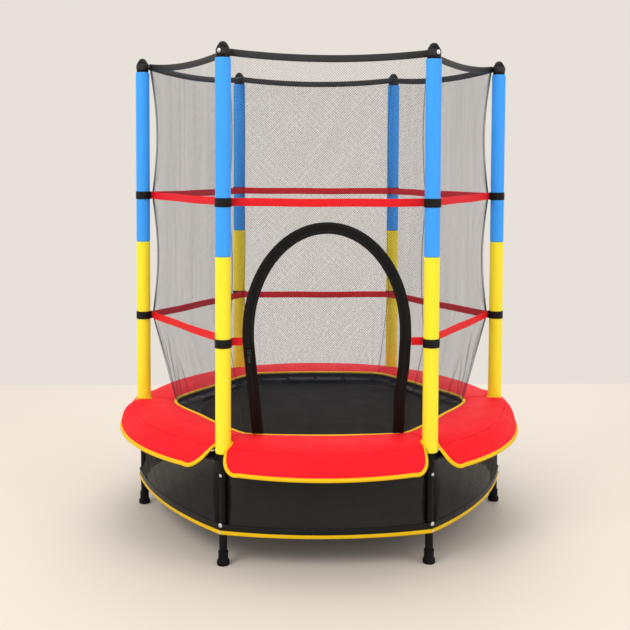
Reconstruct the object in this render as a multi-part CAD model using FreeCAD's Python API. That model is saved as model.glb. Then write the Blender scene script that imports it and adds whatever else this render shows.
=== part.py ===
"""Enclosed trampoline for small children: a six-post ring frame, a sprung mat, a padded edge and a netted cage.

Millimetres, +Z up, origin on the floor at the centre of the post circle, door at the front (-Y).
Anything that belongs to a side is drawn on the front side, and anything that belongs to a post on the +X axis.
Both are then turned about Z to their own side or post.
Round pieces that repeat have flat facets, whose flats lie at the named radius.
"""
import FreeCAD
import Part
import math
import os
from FreeCAD import Vector

# Layout
POSTS = 6
POST_CIRCLE_R = 636.0
RING_Z = 333.0
CLEAR = 0.3

# Number of flats on round pieces
METAL_SIDES = 12
FOAM_SIDES = 16
POLE_SIDES = 8
RAIL_SIDES = 8
BOLT_SIDES = 6
SPRING_SIDES = 6

# Ring rails: bent tubes that plug into one another behind each post
RAIL_R = 12.5
RAIL_WALL = 1.8
MOUTH_ANGLE = 5.0
SPIGOT_LENGTH = 38.0
RAIL_END_PLUG = 1.0
SOCKET_R = 15.0
SOCKET_DROP = 71.0
SOCKET_ROOF = 16.0
COLLAR_TOP = 348.0
POLE_SPIGOT_HEIGHT = 58.0

# Legs and feet
LEG_R = 12.5
LEG_WALL = 1.5
FIT = 0.15
FOOT_SOLE = 8.0
FOOT_FLARE_HEIGHT = 16.5
FOOT_HEIGHT = 43.0
FOOT_FLARE_R = 19.0
FOOT_COLLAR_R = 15.5
FOOT_SLOPE = 2.5

# Bolts
BOLT_R = 3.0
BOLT_HEAD_R = 6.2
BOLT_HEAD_HEIGHT = 3.6
BOLT_PAST_WALL = 5.0
UPPER_BOLT_Z = 281.0
HEM_BOLT_Z = 127.0

# Enclosure poles in foam sleeves
POLE_R = 12.5
POLE_WALL = 1.5
POLE_JOINT_Z = 951.0
POLE_TOP_Z = 1574.0
POLE_PLUG_LENGTH = 45.0
FOAM_R = 24.0
FOAM_TOP_DROP = 23.0

# Pole caps, with heights above the pole's end
CAP_R = 19.5
CAP_DOME_R = 13.5
CAP_SHOULDER_RISE = 5.0
CAP_STEP_RISE = 11.0
CAP_DOME_RISE = 15.0
CAP_TOP_RISE = 26.0
CAP_DOME_STEPS = 2
CAP_DOME_TURN = 75.0
CAP_LUG_WIDTH = 16.0
CAP_LUG_HEIGHT = 20.0
CAP_BOLT_DROP = 8.0

# Cage net: how far inside the post circle the corners of its outer face are, and how they draw in between ties
NET_THICKNESS = 1.0
NET_TIED_INSET = 32.0
NET_TOP_INSET = 25.0
NET_FOOT_INSET = 131.0
NET_DRAW_IN = 18.0
NET_TOP_DRAW_IN = 20.0
NET_LEVELS = 4
NET_COLUMNS = 4
NET_FOOT_Z = 349.0
NET_PLEAT_DEPTH = 5.0
NET_PLEAT_ANGLE = 3.0
NET_PLEATS = 4
NET_HEM_LAP = 8.0

# Straps and the ties that hold them to the poles
STRAP_HEIGHT = 25.0
STRAP_THICKNESS = 2.0
UPPER_STRAP_Z = 1116.0
LOWER_STRAP_Z = 687.0
TIE_HEIGHT = 27.0
TIE_THICKNESS = 1.6
TIE_TAB_WIDTH = 9.0

# Top band of the net, which sags between the caps
BAND_HEIGHT = 22.0
BAND_THICKNESS = 3.0
BAND_CORNER_INSET = 22.0
BAND_END_DROP = 4.0
BAND_SAG = 18.0
BAND_SPANS = 4

# Door: a black binding in an arch over the net, with a zip on its centre line
DOOR_HALF_WIDTH = 260.5
DOOR_RISE = 340.0
DOOR_SPRING_Z = 715.0
DOOR_ARCH_SPANS = 16
BINDING_WIDTH = 36.0
BINDING_THICKNESS = 2.4
DOOR_FOOT_LEAN = 30.0
ZIP_WIDTH = 5.0
ZIP_THICKNESS = 1.6
SLIDER_Z = 655.0
SLIDER_WIDTH = 13.0
SLIDER_LENGTH = 18.0
SLIDER_THICKNESS = 6.0
BAIL_HEIGHT = 5.0
BAIL_WIDTH = 3.0
PULL_WIDTH = 8.0
PULL_LENGTH = 34.0
PULL_THICKNESS = 2.0
PULL_EYE_R = 1.0

# Mat, its edge webbing, the triangle rings sewn to it and the springs
MAT_INSET = 174.0
MAT_TOP_Z = 335.3
MAT_THICKNESS = 1.6
WEBBING_WIDTH = 28.0
WEBBING_THICKNESS = 1.6
SPRINGS_PER_SIDE = 5
RING_WIRE = 4.0
RING_BASE_WIDTH = 34.0
RING_APEX_WIDTH = 11.0
RING_INSET = 12.0
RING_REACH = 25.0
SPRING_R = 7.5
HOOK_THICKNESS = 3.0
HOOK_WIDTH = 4.0
INNER_HOOK_LENGTH = 20.0
OUTER_HOOK_LENGTH = 20.0

# Safety pad: top slab with an outer flap, one section to a side
PAD_NET_GAP = 7.0
PAD_INNER_BOW = 19.6
PAD_SPANS = 8
PAD_UNDER_Z = 353.0
PAD_UNDER_SETBACK = 3.0
PAD_EDGE_BULGE_Z = 364.0
PAD_EDGE_TOP_Z = 376.0
PAD_EDGE_TOP_SETBACK = 6.0
PAD_CROWN_Z = 387.0
PAD_CROWN_SHARE = 0.3
PAD_SHOULDER_SHARE = 0.75
PAD_SHOULDER_DROP = 3.0
PAD_CREASE_OUTSET = 14.0
PAD_CREASE_Z = 368.0
PAD_HEM_OUTSET = 64.0
PAD_HEM_Z = 306.0
PAD_FLAP_THICKNESS = 7.0
PAD_FLAP_BULGE = 6.0
PAD_NOTCH_R = 29.0
PAD_NOTCH_HEM_WIDTH = 80.0
PAD_CORNER_R = 34.0
PAD_SEAM = 0.6

# Skirt: mesh panels between the legs, with a black band and a bright binding that pass outside them
SKIRT_THICKNESS = 1.2
SKIRT_BULGE = 44.0
SKIRT_RING_GAP = 1.2
HEM_LEG_GAP = 1.3
SKIRT_LEG_GAP = 0.8
HEM_BAND_HEIGHT = 20.0
HEM_BAND_BOTTOM_Z = 111.0
HEM_BAND_THICKNESS = 1.6
HEM_BINDING_HEIGHT = 12.0
HEM_BINDING_THICKNESS = 3.4

SECTOR = 360.0 / POSTS
HALF_SECTOR = math.radians(SECTOR / 2)
FRONT = 270.0
SPRING_STEP = SECTOR / SPRINGS_PER_SIDE
FOAM_TOP_Z = POLE_TOP_Z - FOAM_TOP_DROP
CAP_SHOULDER_Z = POLE_TOP_Z + CAP_SHOULDER_RISE
CAP_STEP_Z = POLE_TOP_Z + CAP_STEP_RISE
CAP_DOME_START_Z = POLE_TOP_Z + CAP_DOME_RISE
CAP_TOP_Z = POLE_TOP_Z + CAP_TOP_RISE
CAP_BOLT_Z = POLE_TOP_Z - CAP_BOLT_DROP
BAND_END_Z = POLE_TOP_Z - BAND_END_DROP
NET_TIED_R = POST_CIRCLE_R - NET_TIED_INSET
NET_TOP_R = POST_CIRCLE_R - NET_TOP_INSET
NET_FOOT_R = POST_CIRCLE_R - NET_FOOT_INSET
BAND_CORNER_R = POST_CIRCLE_R - BAND_CORNER_INSET
MAT_R = POST_CIRCLE_R - MAT_INSET
MAT_UNDER_Z = MAT_TOP_Z - MAT_THICKNESS
PAD_INNER_CORNER_R = NET_FOOT_R + PAD_NET_GAP
PAD_CREASE_R = POST_CIRCLE_R + PAD_CREASE_OUTSET
PAD_HEM_R = POST_CIRCLE_R + PAD_HEM_OUTSET
PAD_SEAT_Z = RING_Z + RAIL_R + CLEAR


def polar(radius, azimuth, z=0.0):
    """A point by its radius and its azimuth in degrees."""
    angle = math.radians(azimuth)
    return Vector(radius * math.cos(angle), radius * math.sin(angle), z)


def turned(shape, azimuth):
    """A copy of a shape turned about the vertical axis."""
    copy = shape.copy()
    copy.rotate(Vector(0, 0, 0), Vector(0, 0, 1), azimuth)
    return copy


def on_every_side(shape):
    return [turned(shape, SECTOR * side) for side in range(POSTS)]


def on_every_post(shape):
    first = FRONT + SECTOR / 2
    return [turned(shape, first + SECTOR * post) for post in range(POSTS)]


def flat_face(points):
    return Part.Face(Part.makePolygon(points + points[:1]))


def patch_faces(a, b, c, d):
    """One face where the patch is flat, and where it twists two triangles that fold outward from the Z axis.

    The fold goes the same way on both faces of a thin sheet, so they never cross.
    """
    if abs((b - a).cross(c - a).dot(d - a)) < 1e-6:
        return [flat_face([a, b, c, d])]
    one, other = a + c, b + d
    if math.hypot(one.x, one.y) > math.hypot(other.x, other.y):
        return [flat_face([a, b, c]), flat_face([a, c, d])]
    return [flat_face([a, b, d]), flat_face([b, c, d])]


def skin(sections):
    """A solid with flat faces through outlines that all have the same number of corners."""
    faces = [flat_face(sections[0]), flat_face(sections[-1])]
    for lower, upper in zip(sections, sections[1:]):
        for i in range(len(lower)):
            faces += patch_faces(lower[i - 1], lower[i], upper[i], upper[i - 1])
    shell = Part.makeShell(faces)
    shell.sewShape()
    solid = Part.makeSolid(shell)
    if solid.Volume < 0:
        solid.reverse()
    return solid


def round_outline(radius, sides):
    """Corners of a regular outline whose flats touch the circle, one of them square to +X."""
    reach = radius / math.cos(math.pi / sides)
    return [polar(reach, (i + 0.5) * 360.0 / sides) for i in range(sides)]


def upright_prism(points, bottom, top):
    """A prism on a flat outline of (x, y) points."""
    return flat_face([Vector(x, y, bottom) for x, y in points]).extrude(Vector(0, 0, top - bottom))


def post_turning(profile, sides):
    """A faceted turning about the post's axis, through (radius, z) points."""
    sections = []
    for radius, z in profile:
        sections.append([Vector(POST_CIRCLE_R + p.x, p.y, z) for p in round_outline(radius, sides)])
    return skin(sections)


def post_bar(radius, bottom, top, sides):
    return post_turning([(radius, bottom), (radius, top)], sides)


def post_tube(outer_r, inner_r, bottom, top, sides):
    return post_bar(outer_r, bottom, top, sides).cut(post_bar(inner_r, bottom, top, sides))


def rod(start, direction, radius, length, sides):
    """A faceted rod from a point along a level direction."""
    across = Vector(0, 0, 1).cross(direction)
    corners = [start + across * p.x + Vector(0, 0, p.y) for p in round_outline(radius, sides)]
    return flat_face(corners).extrude(direction * length)


def bolt_hole(z, start_r, end_r):
    """The cutter for a bolt hole that points outward from the post's axis."""
    start = Vector(POST_CIRCLE_R + start_r, 0, z)
    return rod(start, Vector(1, 0, 0), BOLT_R + FIT, end_r - start_r, BOLT_SIDES)


def bolt(z, seat_r, end_r):
    """A hexagon bolt whose head sits on a surface at seat_r from the post's axis, and whose shank ends at end_r."""
    seat = Vector(POST_CIRCLE_R + seat_r, 0, z)
    out = Vector(1, 0, 0)
    head = rod(seat, out, BOLT_HEAD_R, BOLT_HEAD_HEIGHT, BOLT_SIDES)
    shank = rod(Vector(POST_CIRCLE_R + end_r, 0, z), out, BOLT_R, seat_r - end_r, BOLT_SIDES)
    return head.fuse(shank)


def bent_tube(radius, azimuths):
    """A round bar that follows the ring from radial plane to radial plane."""
    sections = []
    for azimuth in azimuths:
        outline = round_outline(radius, RAIL_SIDES)
        sections.append([polar(POST_CIRCLE_R + p.x, azimuth, RING_Z + p.y) for p in outline])
    return skin(sections)


def top_rail():
    """A rail from just before one post to just before the next, with the leg's socket welded to it.

    Its bends lie where the springs hook on. Its far end is closed by a spigot that plugs into the open mouth
    of the next rail.
    """
    end = SECTOR - math.degrees(CLEAR / POST_CIRCLE_R)
    bends = [MOUTH_ANGLE + SPRING_STEP * (i + 0.5) for i in range(SPRINGS_PER_SIDE)]
    inner_r = RAIL_R - RAIL_WALL
    bore_azimuths = [0.0] + bends[:-1] + [bends[-1] - RAIL_END_PLUG]
    rail = bent_tube(RAIL_R, [0.0] + bends + [end]).cut(bent_tube(inner_r, bore_azimuths))
    shoulder = polar(POST_CIRCLE_R, end, RING_Z)
    along = (polar(POST_CIRCLE_R, SECTOR + bends[0], RING_Z) - shoulder).normalize()
    spigot = rod(shoulder - along * RAIL_WALL, along, inner_r - FIT, RAIL_WALL + SPIGOT_LENGTH, RAIL_SIDES)
    socket_bottom = RING_Z - SOCKET_DROP
    spigot_top = COLLAR_TOP + POLE_SPIGOT_HEIGHT
    at_post = [
        post_bar(SOCKET_R, socket_bottom, COLLAR_TOP, METAL_SIDES),
        post_bar(POLE_R - POLE_WALL - FIT, COLLAR_TOP, spigot_top, POLE_SIDES),
    ]
    leg_bore = post_bar(LEG_R + FIT, socket_bottom, RING_Z - SOCKET_ROOF, METAL_SIDES)
    cutters = [leg_bore, bolt_hole(UPPER_BOLT_Z, 0, SOCKET_R)]
    rail = rail.fuse([spigot] + [turned(piece, MOUTH_ANGLE) for piece in at_post])
    rail = rail.cut([turned(piece, MOUTH_ANGLE) for piece in cutters])
    return turned(rail.removeSplitter(), -MOUTH_ANGLE)


def leg():
    tube = post_tube(LEG_R, LEG_R - LEG_WALL, FOOT_SOLE, RING_Z - SOCKET_ROOF - CLEAR, METAL_SIDES)
    return tube.cut([bolt_hole(z, 0, LEG_R) for z in (UPPER_BOLT_Z, HEM_BOLT_Z)])


def foot():
    """A rubber boot: a flared sole under a collar that grips the leg."""
    outline = [
        (FOOT_FLARE_R, 0),
        (FOOT_FLARE_R, FOOT_FLARE_HEIGHT - FOOT_SLOPE),
        (FOOT_COLLAR_R, FOOT_FLARE_HEIGHT),
        (FOOT_COLLAR_R, FOOT_HEIGHT),
    ]
    bore = post_bar(LEG_R + FIT, FOOT_SOLE - CLEAR, FOOT_HEIGHT, METAL_SIDES)
    return post_turning(outline, METAL_SIDES).cut(bore)


def lower_pole():
    return post_tube(POLE_R, POLE_R - POLE_WALL, COLLAR_TOP + CLEAR, POLE_JOINT_Z, POLE_SIDES)


def upper_pole():
    """The upper pole, closed at its foot by a plug that goes down into the lower one."""
    start = POLE_JOINT_Z + CLEAR
    plug_r = POLE_R - POLE_WALL - FIT
    profile = [(plug_r, POLE_JOINT_Z - POLE_PLUG_LENGTH), (plug_r, start), (POLE_R, start), (POLE_R, POLE_TOP_Z)]
    bore = post_bar(POLE_R - POLE_WALL, start + POLE_WALL, POLE_TOP_Z, POLE_SIDES)
    return post_turning(profile, POLE_SIDES).cut(bore)


def foam_sleeve(bottom, top):
    bore = post_bar(POLE_R + CLEAR, bottom, top, POLE_SIDES)
    return post_bar(FOAM_R, bottom, top, FOAM_SIDES).cut(bore)


def pole_cap():
    """A domed cap over the pole, with an inner lug that carries the top band."""
    bottom = FOAM_TOP_Z + CLEAR
    profile = [(CAP_R, bottom), (CAP_R, CAP_SHOULDER_Z), (CAP_DOME_R, CAP_STEP_Z)]
    rise = (CAP_TOP_Z - CAP_DOME_START_Z) / math.sin(math.radians(CAP_DOME_TURN))
    for i in range(CAP_DOME_STEPS + 1):
        turn = math.radians(CAP_DOME_TURN * i / CAP_DOME_STEPS)
        profile.append((CAP_DOME_R * math.cos(turn), CAP_DOME_START_Z + rise * math.sin(turn)))
    lug_start = BAND_CORNER_R + CLEAR
    half_width, half_height = CAP_LUG_WIDTH / 2, CAP_LUG_HEIGHT / 2
    lug = upright_prism(
        [
            (lug_start, -half_width),
            (POST_CIRCLE_R, -half_width),
            (POST_CIRCLE_R, half_width),
            (lug_start, half_width),
        ],
        BAND_END_Z - half_height,
        BAND_END_Z + half_height,
    )
    pole_bore = post_bar(POLE_R + FIT, bottom, POLE_TOP_Z + CLEAR, POLE_SIDES)
    return post_turning(profile, METAL_SIDES).fuse(lug).cut([pole_bore, bolt_hole(CAP_BOLT_Z, POLE_R, CAP_R)])


def bowed_radius(corner_r, bow, angle):
    """Radius of a hexagon whose sides bow out in an arc, at an angle in degrees from the middle of a side."""
    half = corner_r * math.sin(HALF_SECTOR)
    arc_r = (half**2 + bow**2) / (2 * bow)
    centre = corner_r * math.cos(HALF_SECTOR) + bow - arc_r
    off_mid = math.radians(angle)
    return centre * math.cos(off_mid) + math.sqrt(arc_r**2 - (centre * math.sin(off_mid)) ** 2)


def pad_inner_r(angle):
    return bowed_radius(PAD_INNER_CORNER_R, PAD_INNER_BOW, angle)


def net_section(z, angles, radii):
    """A closed section of one side's net, as thick as the cloth and ending on its two posts' radial planes."""
    depth = NET_THICKNESS / math.cos(HALF_SECTOR)
    outer = [polar(r, FRONT + a, z) for a, r in zip(angles, radii)]
    inner = [polar(r - depth, FRONT + a, z) for a, r in zip(angles, radii)]
    return outer + inner[::-1]


def net_tier(bottom, top, bottom_r, top_r, draw_in):
    """A tier of net between two ties, flat in its middle, whose corners draw in between the ties."""
    angles = [SECTOR * (i / NET_COLUMNS - 0.5) for i in range(NET_COLUMNS + 1)]
    middle = NET_TIED_R * math.cos(HALF_SECTOR)
    sections = []
    for level in range(NET_LEVELS + 1):
        share = level / NET_LEVELS
        corner_r = bottom_r + (top_r - bottom_r) * share - draw_in * math.sin(math.pi * share)
        pull_in = corner_r * math.cos(HALF_SECTOR) - middle
        radii = []
        for a in angles:
            near_corner = (abs(a) / (SECTOR / 2)) ** 2
            radii.append((middle + pull_in * near_corner) / math.cos(math.radians(a)))
        sections.append(net_section(bottom + (top - bottom) * share, angles, radii))
    return skin(sections)


def net_foot_tier():
    """The lowest tier, which runs in under the pad's edge to the mat and gathers in pleats beside the corners."""
    pleated = [SECTOR / 2 - NET_PLEAT_ANGLE * i for i in range(NET_PLEATS + 1)]
    angles = [-a for a in pleated] + [0.0] + pleated[::-1]
    foot, top = [], []
    for a in angles:
        pleat = NET_PLEAT_DEPTH if abs(a) in pleated[1:-1:2] else 0.0
        flat = math.cos(HALF_SECTOR) / math.cos(math.radians(a))
        foot.append(NET_FOOT_R * flat - pleat)
        top.append(NET_TIED_R * flat)
    return skin([net_section(NET_FOOT_Z, angles, foot), net_section(LOWER_STRAP_Z, angles, top)])


def net_panel():
    """One side of the cage net: three tiers sewn together along the two straps."""
    net_top = BAND_END_Z - BAND_SAG - BAND_HEIGHT / 2 - CLEAR
    middle = net_tier(LOWER_STRAP_Z, UPPER_STRAP_Z, NET_TIED_R, NET_TIED_R, NET_DRAW_IN)
    upper = net_tier(UPPER_STRAP_Z, net_top, NET_TIED_R, NET_TOP_R, NET_TOP_DRAW_IN)
    return [net_foot_tier(), middle, upper]


def net_hem():
    """Black hem from the net's foot in under the pad and down to the mat's webbing."""
    angles = side_angles()
    low_z = MAT_TOP_Z + WEBBING_THICKNESS + CLEAR
    foot = [NET_FOOT_R * math.cos(HALF_SECTOR) / math.cos(math.radians(a)) for a in angles]
    lap_r = MAT_R - NET_HEM_LAP
    lap = [min(lap_r, r - NET_THICKNESS) for r in foot]
    return skin([net_section(low_z, angles, lap), net_section(NET_FOOT_Z - CLEAR, angles, foot)])


def strap_corner_r():
    return NET_TIED_R + (STRAP_THICKNESS + CLEAR) / math.cos(HALF_SECTOR)


def strap(z, left=None, right=None):
    """A strap along the front side, mitred at its posts or cut off square at left or right."""
    outer_r = strap_corner_r()
    inner_r = outer_r - STRAP_THICKNESS / math.cos(HALF_SECTOR)
    corners = []
    for radius, side, stop in ((outer_r, -1, left), (outer_r, 1, right), (inner_r, 1, right), (inner_r, -1, left)):
        x = side * radius * math.sin(HALF_SECTOR) if stop is None else stop
        corners.append((x, -radius * math.cos(HALF_SECTOR)))
    return upright_prism(corners, z - STRAP_HEIGHT / 2, z + STRAP_HEIGHT / 2)


def straps():
    """Straps round the net at both ties. The lower one stops at the door's binding on either side."""
    edge = DOOR_HALF_WIDTH + CLEAR
    beside_door = [strap(LOWER_STRAP_Z, right=-edge), strap(LOWER_STRAP_Z, left=edge)]
    return on_every_side(strap(UPPER_STRAP_Z)) + on_every_side(strap(LOWER_STRAP_Z))[1:] + beside_door


def tie(z):
    """A band round the foam with a tab that reaches in to the strap's corner."""
    inner_r = FOAM_R + CLEAR
    low, high = z - TIE_HEIGHT / 2, z + TIE_HEIGHT / 2
    hoop = post_tube(inner_r + TIE_THICKNESS, inner_r, low, high, FOAM_SIDES)
    start = strap_corner_r() + CLEAR
    end = POST_CIRCLE_R - inner_r - TIE_THICKNESS / 2
    half = TIE_TAB_WIDTH / 2
    tab = upright_prism([(start, -half), (end, -half), (end, half), (start, half)], low, high)
    return hoop.fuse(tab).removeSplitter()


def top_band():
    """The webbing that carries the net, hung in a shallow arc from cap to cap."""
    inner_r = BAND_CORNER_R - BAND_THICKNESS / math.cos(HALF_SECTOR)
    sections = []
    for i in range(BAND_SPANS + 1):
        share = 2 * i / BAND_SPANS - 1
        middle_z = BAND_END_Z - BAND_SAG * (1 - share**2)
        low, high = middle_z - BAND_HEIGHT / 2, middle_z + BAND_HEIGHT / 2
        section = []
        for radius, z in ((BAND_CORNER_R, low), (BAND_CORNER_R, high), (inner_r, high), (inner_r, low)):
            x = share * radius * math.sin(HALF_SECTOR)
            section.append(Vector(x, -radius * math.cos(HALF_SECTOR), z))
        sections.append(section)
    return skin(sections)


def door_plane_y():
    """The outer face of the net's flat middle, which the door's binding lies on."""
    return -NET_TIED_R * math.cos(HALF_SECTOR) - CLEAR


def foot_direction():
    """How the net's middle runs in from the lower strap to the mat, as a step in y for each step down."""
    return (NET_TIED_R - NET_FOOT_R) * math.cos(HALF_SECTOR) / (LOWER_STRAP_Z - NET_FOOT_Z)


def door_path():
    """The middle of the door's binding from its left foot over the arch to its right, with its outward normals."""
    half_width = DOOR_HALF_WIDTH - BINDING_WIDTH / 2
    rise = DOOR_RISE - BINDING_WIDTH / 2
    y = door_plane_y()
    foot_y = y + (LOWER_STRAP_Z - NET_FOOT_Z) * foot_direction()
    left_leg = [
        (Vector(-half_width + DOOR_FOOT_LEAN, foot_y, NET_FOOT_Z), Vector(-1, 0, 0)),
        (Vector(-half_width, y, LOWER_STRAP_Z), Vector(-1, 0, 0)),
    ]
    arch = []
    for i in range(DOOR_ARCH_SPANS + 1):
        turn = math.pi * (1 - i / DOOR_ARCH_SPANS)
        place = Vector(half_width * math.cos(turn), y, DOOR_SPRING_Z + rise * math.sin(turn))
        arch.append((place, Vector(rise * math.cos(turn), 0, half_width * math.sin(turn)).normalize()))
    right_leg = [(Vector(-p.x, p.y, p.z), normal * -1) for p, normal in left_leg[::-1]]
    return left_leg + arch + right_leg


def door_strip(width, lift, thickness):
    """A strip that follows the door, lifted off the net."""
    sections = []
    for place, normal in door_path():
        back, front = Vector(0, -lift, 0), Vector(0, -lift - thickness, 0)
        outer, inner = place + normal * (width / 2), place - normal * (width / 2)
        sections.append([outer + back, inner + back, inner + front, outer + front])
    return skin(sections)


def door_binding():
    return door_strip(BINDING_WIDTH, 0, BINDING_THICKNESS)


def zip_teeth():
    return door_strip(ZIP_WIDTH, BINDING_THICKNESS + CLEAR / 3, ZIP_THICKNESS)


def slider_frame():
    """Where the slider rests: a point on the binding's face, and the directions up the zip and out of it."""
    drop = LOWER_STRAP_Z - SLIDER_Z
    lean = DOOR_FOOT_LEAN / (LOWER_STRAP_Z - NET_FOOT_Z)
    x = -(DOOR_HALF_WIDTH - BINDING_WIDTH / 2) + lean * drop
    y = door_plane_y() - BINDING_THICKNESS + drop * foot_direction()
    up = Vector(-lean, -foot_direction(), 1).normalize()
    out = Vector(1, 0, lean).cross(up).normalize()
    if out.y > 0:
        out = out * -1
    return Vector(x, y, SLIDER_Z), up, out.cross(up).normalize(), out


def block(start, along, across, out, size):
    """A box centred along and across a point, standing on it in the out direction."""
    length, width, height = size
    corner = start - along * (length / 2) - across * (width / 2)
    far = corner + along * length
    return flat_face([corner, far, far + across * width, corner + across * width]).extrude(out * height)


def pin(centre, along, radius, length):
    """A pin centred on a point."""
    return Part.makeCylinder(radius, length, centre - along * (length / 2), along)


def bail_lift():
    return CLEAR + SLIDER_THICKNESS + BAIL_HEIGHT / 2


def zip_slider():
    """The slider rides over the zip in a channel and carries the pull on a small bail."""
    place, up, across, out = slider_frame()
    body = block(place + out * CLEAR, up, across, out, (SLIDER_LENGTH, SLIDER_WIDTH, SLIDER_THICKNESS))
    channel_size = (SLIDER_LENGTH * 2, ZIP_WIDTH + 4 * CLEAR, ZIP_THICKNESS + 2 * CLEAR)
    channel = block(place, up, across, out, channel_size)
    top = place + out * (CLEAR + SLIDER_THICKNESS)
    bail = block(top, up, across, out, (SLIDER_LENGTH / 2, BAIL_WIDTH, BAIL_HEIGHT))
    pin_hole = pin(place + out * bail_lift(), across, PULL_EYE_R, SLIDER_WIDTH)
    return body.cut(channel).fuse(bail).cut(pin_hole)


def zip_pull():
    """The pull hangs straight down from the bail, forked round it, with a pin through its eye."""
    place, _, across, out = slider_frame()
    eye = place + out * bail_lift()
    half, depth = PULL_WIDTH / 2, PULL_THICKNESS / 2
    axle = pin(eye, across, PULL_EYE_R - CLEAR / 3, (PULL_WIDTH + BAIL_WIDTH) / 2)
    tongue = Part.makeBox(
        PULL_WIDTH, PULL_THICKNESS, PULL_LENGTH, Vector(eye.x - half, eye.y - depth, eye.z + depth - PULL_LENGTH)
    )
    side_gap = BAIL_WIDTH / 2 + 3 * CLEAR
    slot_drop = BAIL_HEIGHT + SLIDER_LENGTH / 4 + CLEAR
    slot_corner = Vector(eye.x - side_gap, eye.y - PULL_THICKNESS, eye.z - slot_drop)
    slot = Part.makeBox(2 * side_gap, 2 * PULL_THICKNESS, 2 * slot_drop, slot_corner)
    return axle.fuse(tongue.cut(slot))


def spring_azimuths():
    """Azimuths of the springs, evenly spaced with none behind a post."""
    first = FRONT + SECTOR / 2 + SPRING_STEP / 2
    return [first + SPRING_STEP * i for i in range(POSTS * SPRINGS_PER_SIDE)]


def mat_outline(radius):
    """The mat's edge, pulled out to a corner at every spring."""
    return [(p.x, p.y) for p in [polar(radius, azimuth) for azimuth in spring_azimuths()]]


def jump_mat():
    return upright_prism(mat_outline(MAT_R), MAT_UNDER_Z, MAT_TOP_Z)


def mat_webbing():
    """The folded webbing sewn round the mat's edge."""
    top = MAT_TOP_Z + WEBBING_THICKNESS
    hoop = upright_prism(mat_outline(MAT_R), MAT_TOP_Z, top)
    return hoop.cut(upright_prism(mat_outline(MAT_R - WEBBING_WIDTH), MAT_TOP_Z, top))


def ring_levels():
    top = MAT_UNDER_Z - CLEAR
    return top - RING_WIRE, top


def triangle_ring():
    """A wire triangle whose wide bar is held under the mat's edge and whose narrow end takes the spring."""
    base_r, tip_r = MAT_R - RING_INSET, MAT_R + RING_REACH
    half_base, half_tip = RING_BASE_WIDTH / 2, RING_APEX_WIDTH / 2
    outer = [(base_r, -half_base), (tip_r, -half_tip), (tip_r, half_tip), (base_r, half_base)]
    slope = (half_base - half_tip) / (tip_r - base_r)
    side = RING_WIRE * math.sqrt(1 + slope**2)
    near, far = base_r + RING_WIRE, tip_r - RING_WIRE
    half_near = half_base - slope * RING_WIRE - side
    half_far = half_tip + slope * RING_WIRE - side
    inner = [(near, -half_near), (far, -half_far), (far, half_far), (near, half_near)]
    low, high = ring_levels()
    return upright_prism(outer, low, high).cut(upright_prism(inner, low, high))


def spring():
    """A spring's envelope, with the hook that goes under and up through a triangle and the one at the ring."""
    low, high = ring_levels()
    hook_top = low - CLEAR
    hook_bottom = hook_top - HOOK_THICKNESS
    axis_z = hook_bottom + HOOK_THICKNESS / 2
    tip_r = MAT_R + RING_REACH
    start_r = tip_r + INNER_HOOK_LENGTH - RING_WIRE
    end_r = POST_CIRCLE_R - RAIL_R - OUTER_HOOK_LENGTH
    coil = rod(Vector(start_r, 0, axis_z), Vector(1, 0, 0), SPRING_R, end_r - start_r, SPRING_SIDES)
    toe_r = tip_r - RING_WIRE - CLEAR
    rail_r = POST_CIRCLE_R - RAIL_R - CLEAR
    inner_hook = [
        (start_r, hook_bottom),
        (toe_r - HOOK_THICKNESS, hook_bottom),
        (toe_r - HOOK_THICKNESS, high),
        (toe_r, high),
        (toe_r, hook_top),
        (start_r, hook_top),
    ]
    outer_hook = [
        (end_r, hook_bottom),
        (rail_r, RING_Z - HOOK_THICKNESS / 2),
        (rail_r, RING_Z + HOOK_THICKNESS / 2),
        (end_r, hook_top),
    ]
    hooks = []
    for points in (inner_hook, outer_hook):
        side = flat_face([Vector(r, -HOOK_WIDTH / 2, z) for r, z in points])
        hooks.append(side.extrude(Vector(0, HOOK_WIDTH, 0)))
    return coil.fuse(hooks)


def pad_profile(inner_r):
    """Radial section of the pad as (radius, z): crowned slab, crease, bulging flap and seat on the ring."""
    span = PAD_CREASE_R - inner_r
    flap_mid_r = (PAD_CREASE_R + PAD_HEM_R) / 2
    flap_mid_z = (PAD_CREASE_Z + PAD_HEM_Z) / 2
    flap = Vector(PAD_HEM_R - PAD_CREASE_R, 0, PAD_HEM_Z - PAD_CREASE_Z).normalize()
    normal = Vector(-flap.z, 0, flap.x)
    hem_back = Vector(PAD_HEM_R, 0, PAD_HEM_Z) - normal * PAD_FLAP_THICKNESS
    return [
        (inner_r + PAD_UNDER_SETBACK, PAD_UNDER_Z),
        (inner_r, PAD_EDGE_BULGE_Z),
        (inner_r + PAD_EDGE_TOP_SETBACK, PAD_EDGE_TOP_Z),
        (inner_r + span * PAD_CROWN_SHARE, PAD_CROWN_Z),
        (inner_r + span * PAD_SHOULDER_SHARE, PAD_CROWN_Z - PAD_SHOULDER_DROP),
        (PAD_CREASE_R, PAD_CREASE_Z),
        (flap_mid_r + normal.x * PAD_FLAP_BULGE, flap_mid_z + normal.z * PAD_FLAP_BULGE),
        (PAD_HEM_R, PAD_HEM_Z),
        (hem_back.x, hem_back.z),
        (POST_CIRCLE_R + RAIL_R, PAD_SEAT_Z),
        (POST_CIRCLE_R - RAIL_R, PAD_SEAT_Z),
    ]


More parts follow.
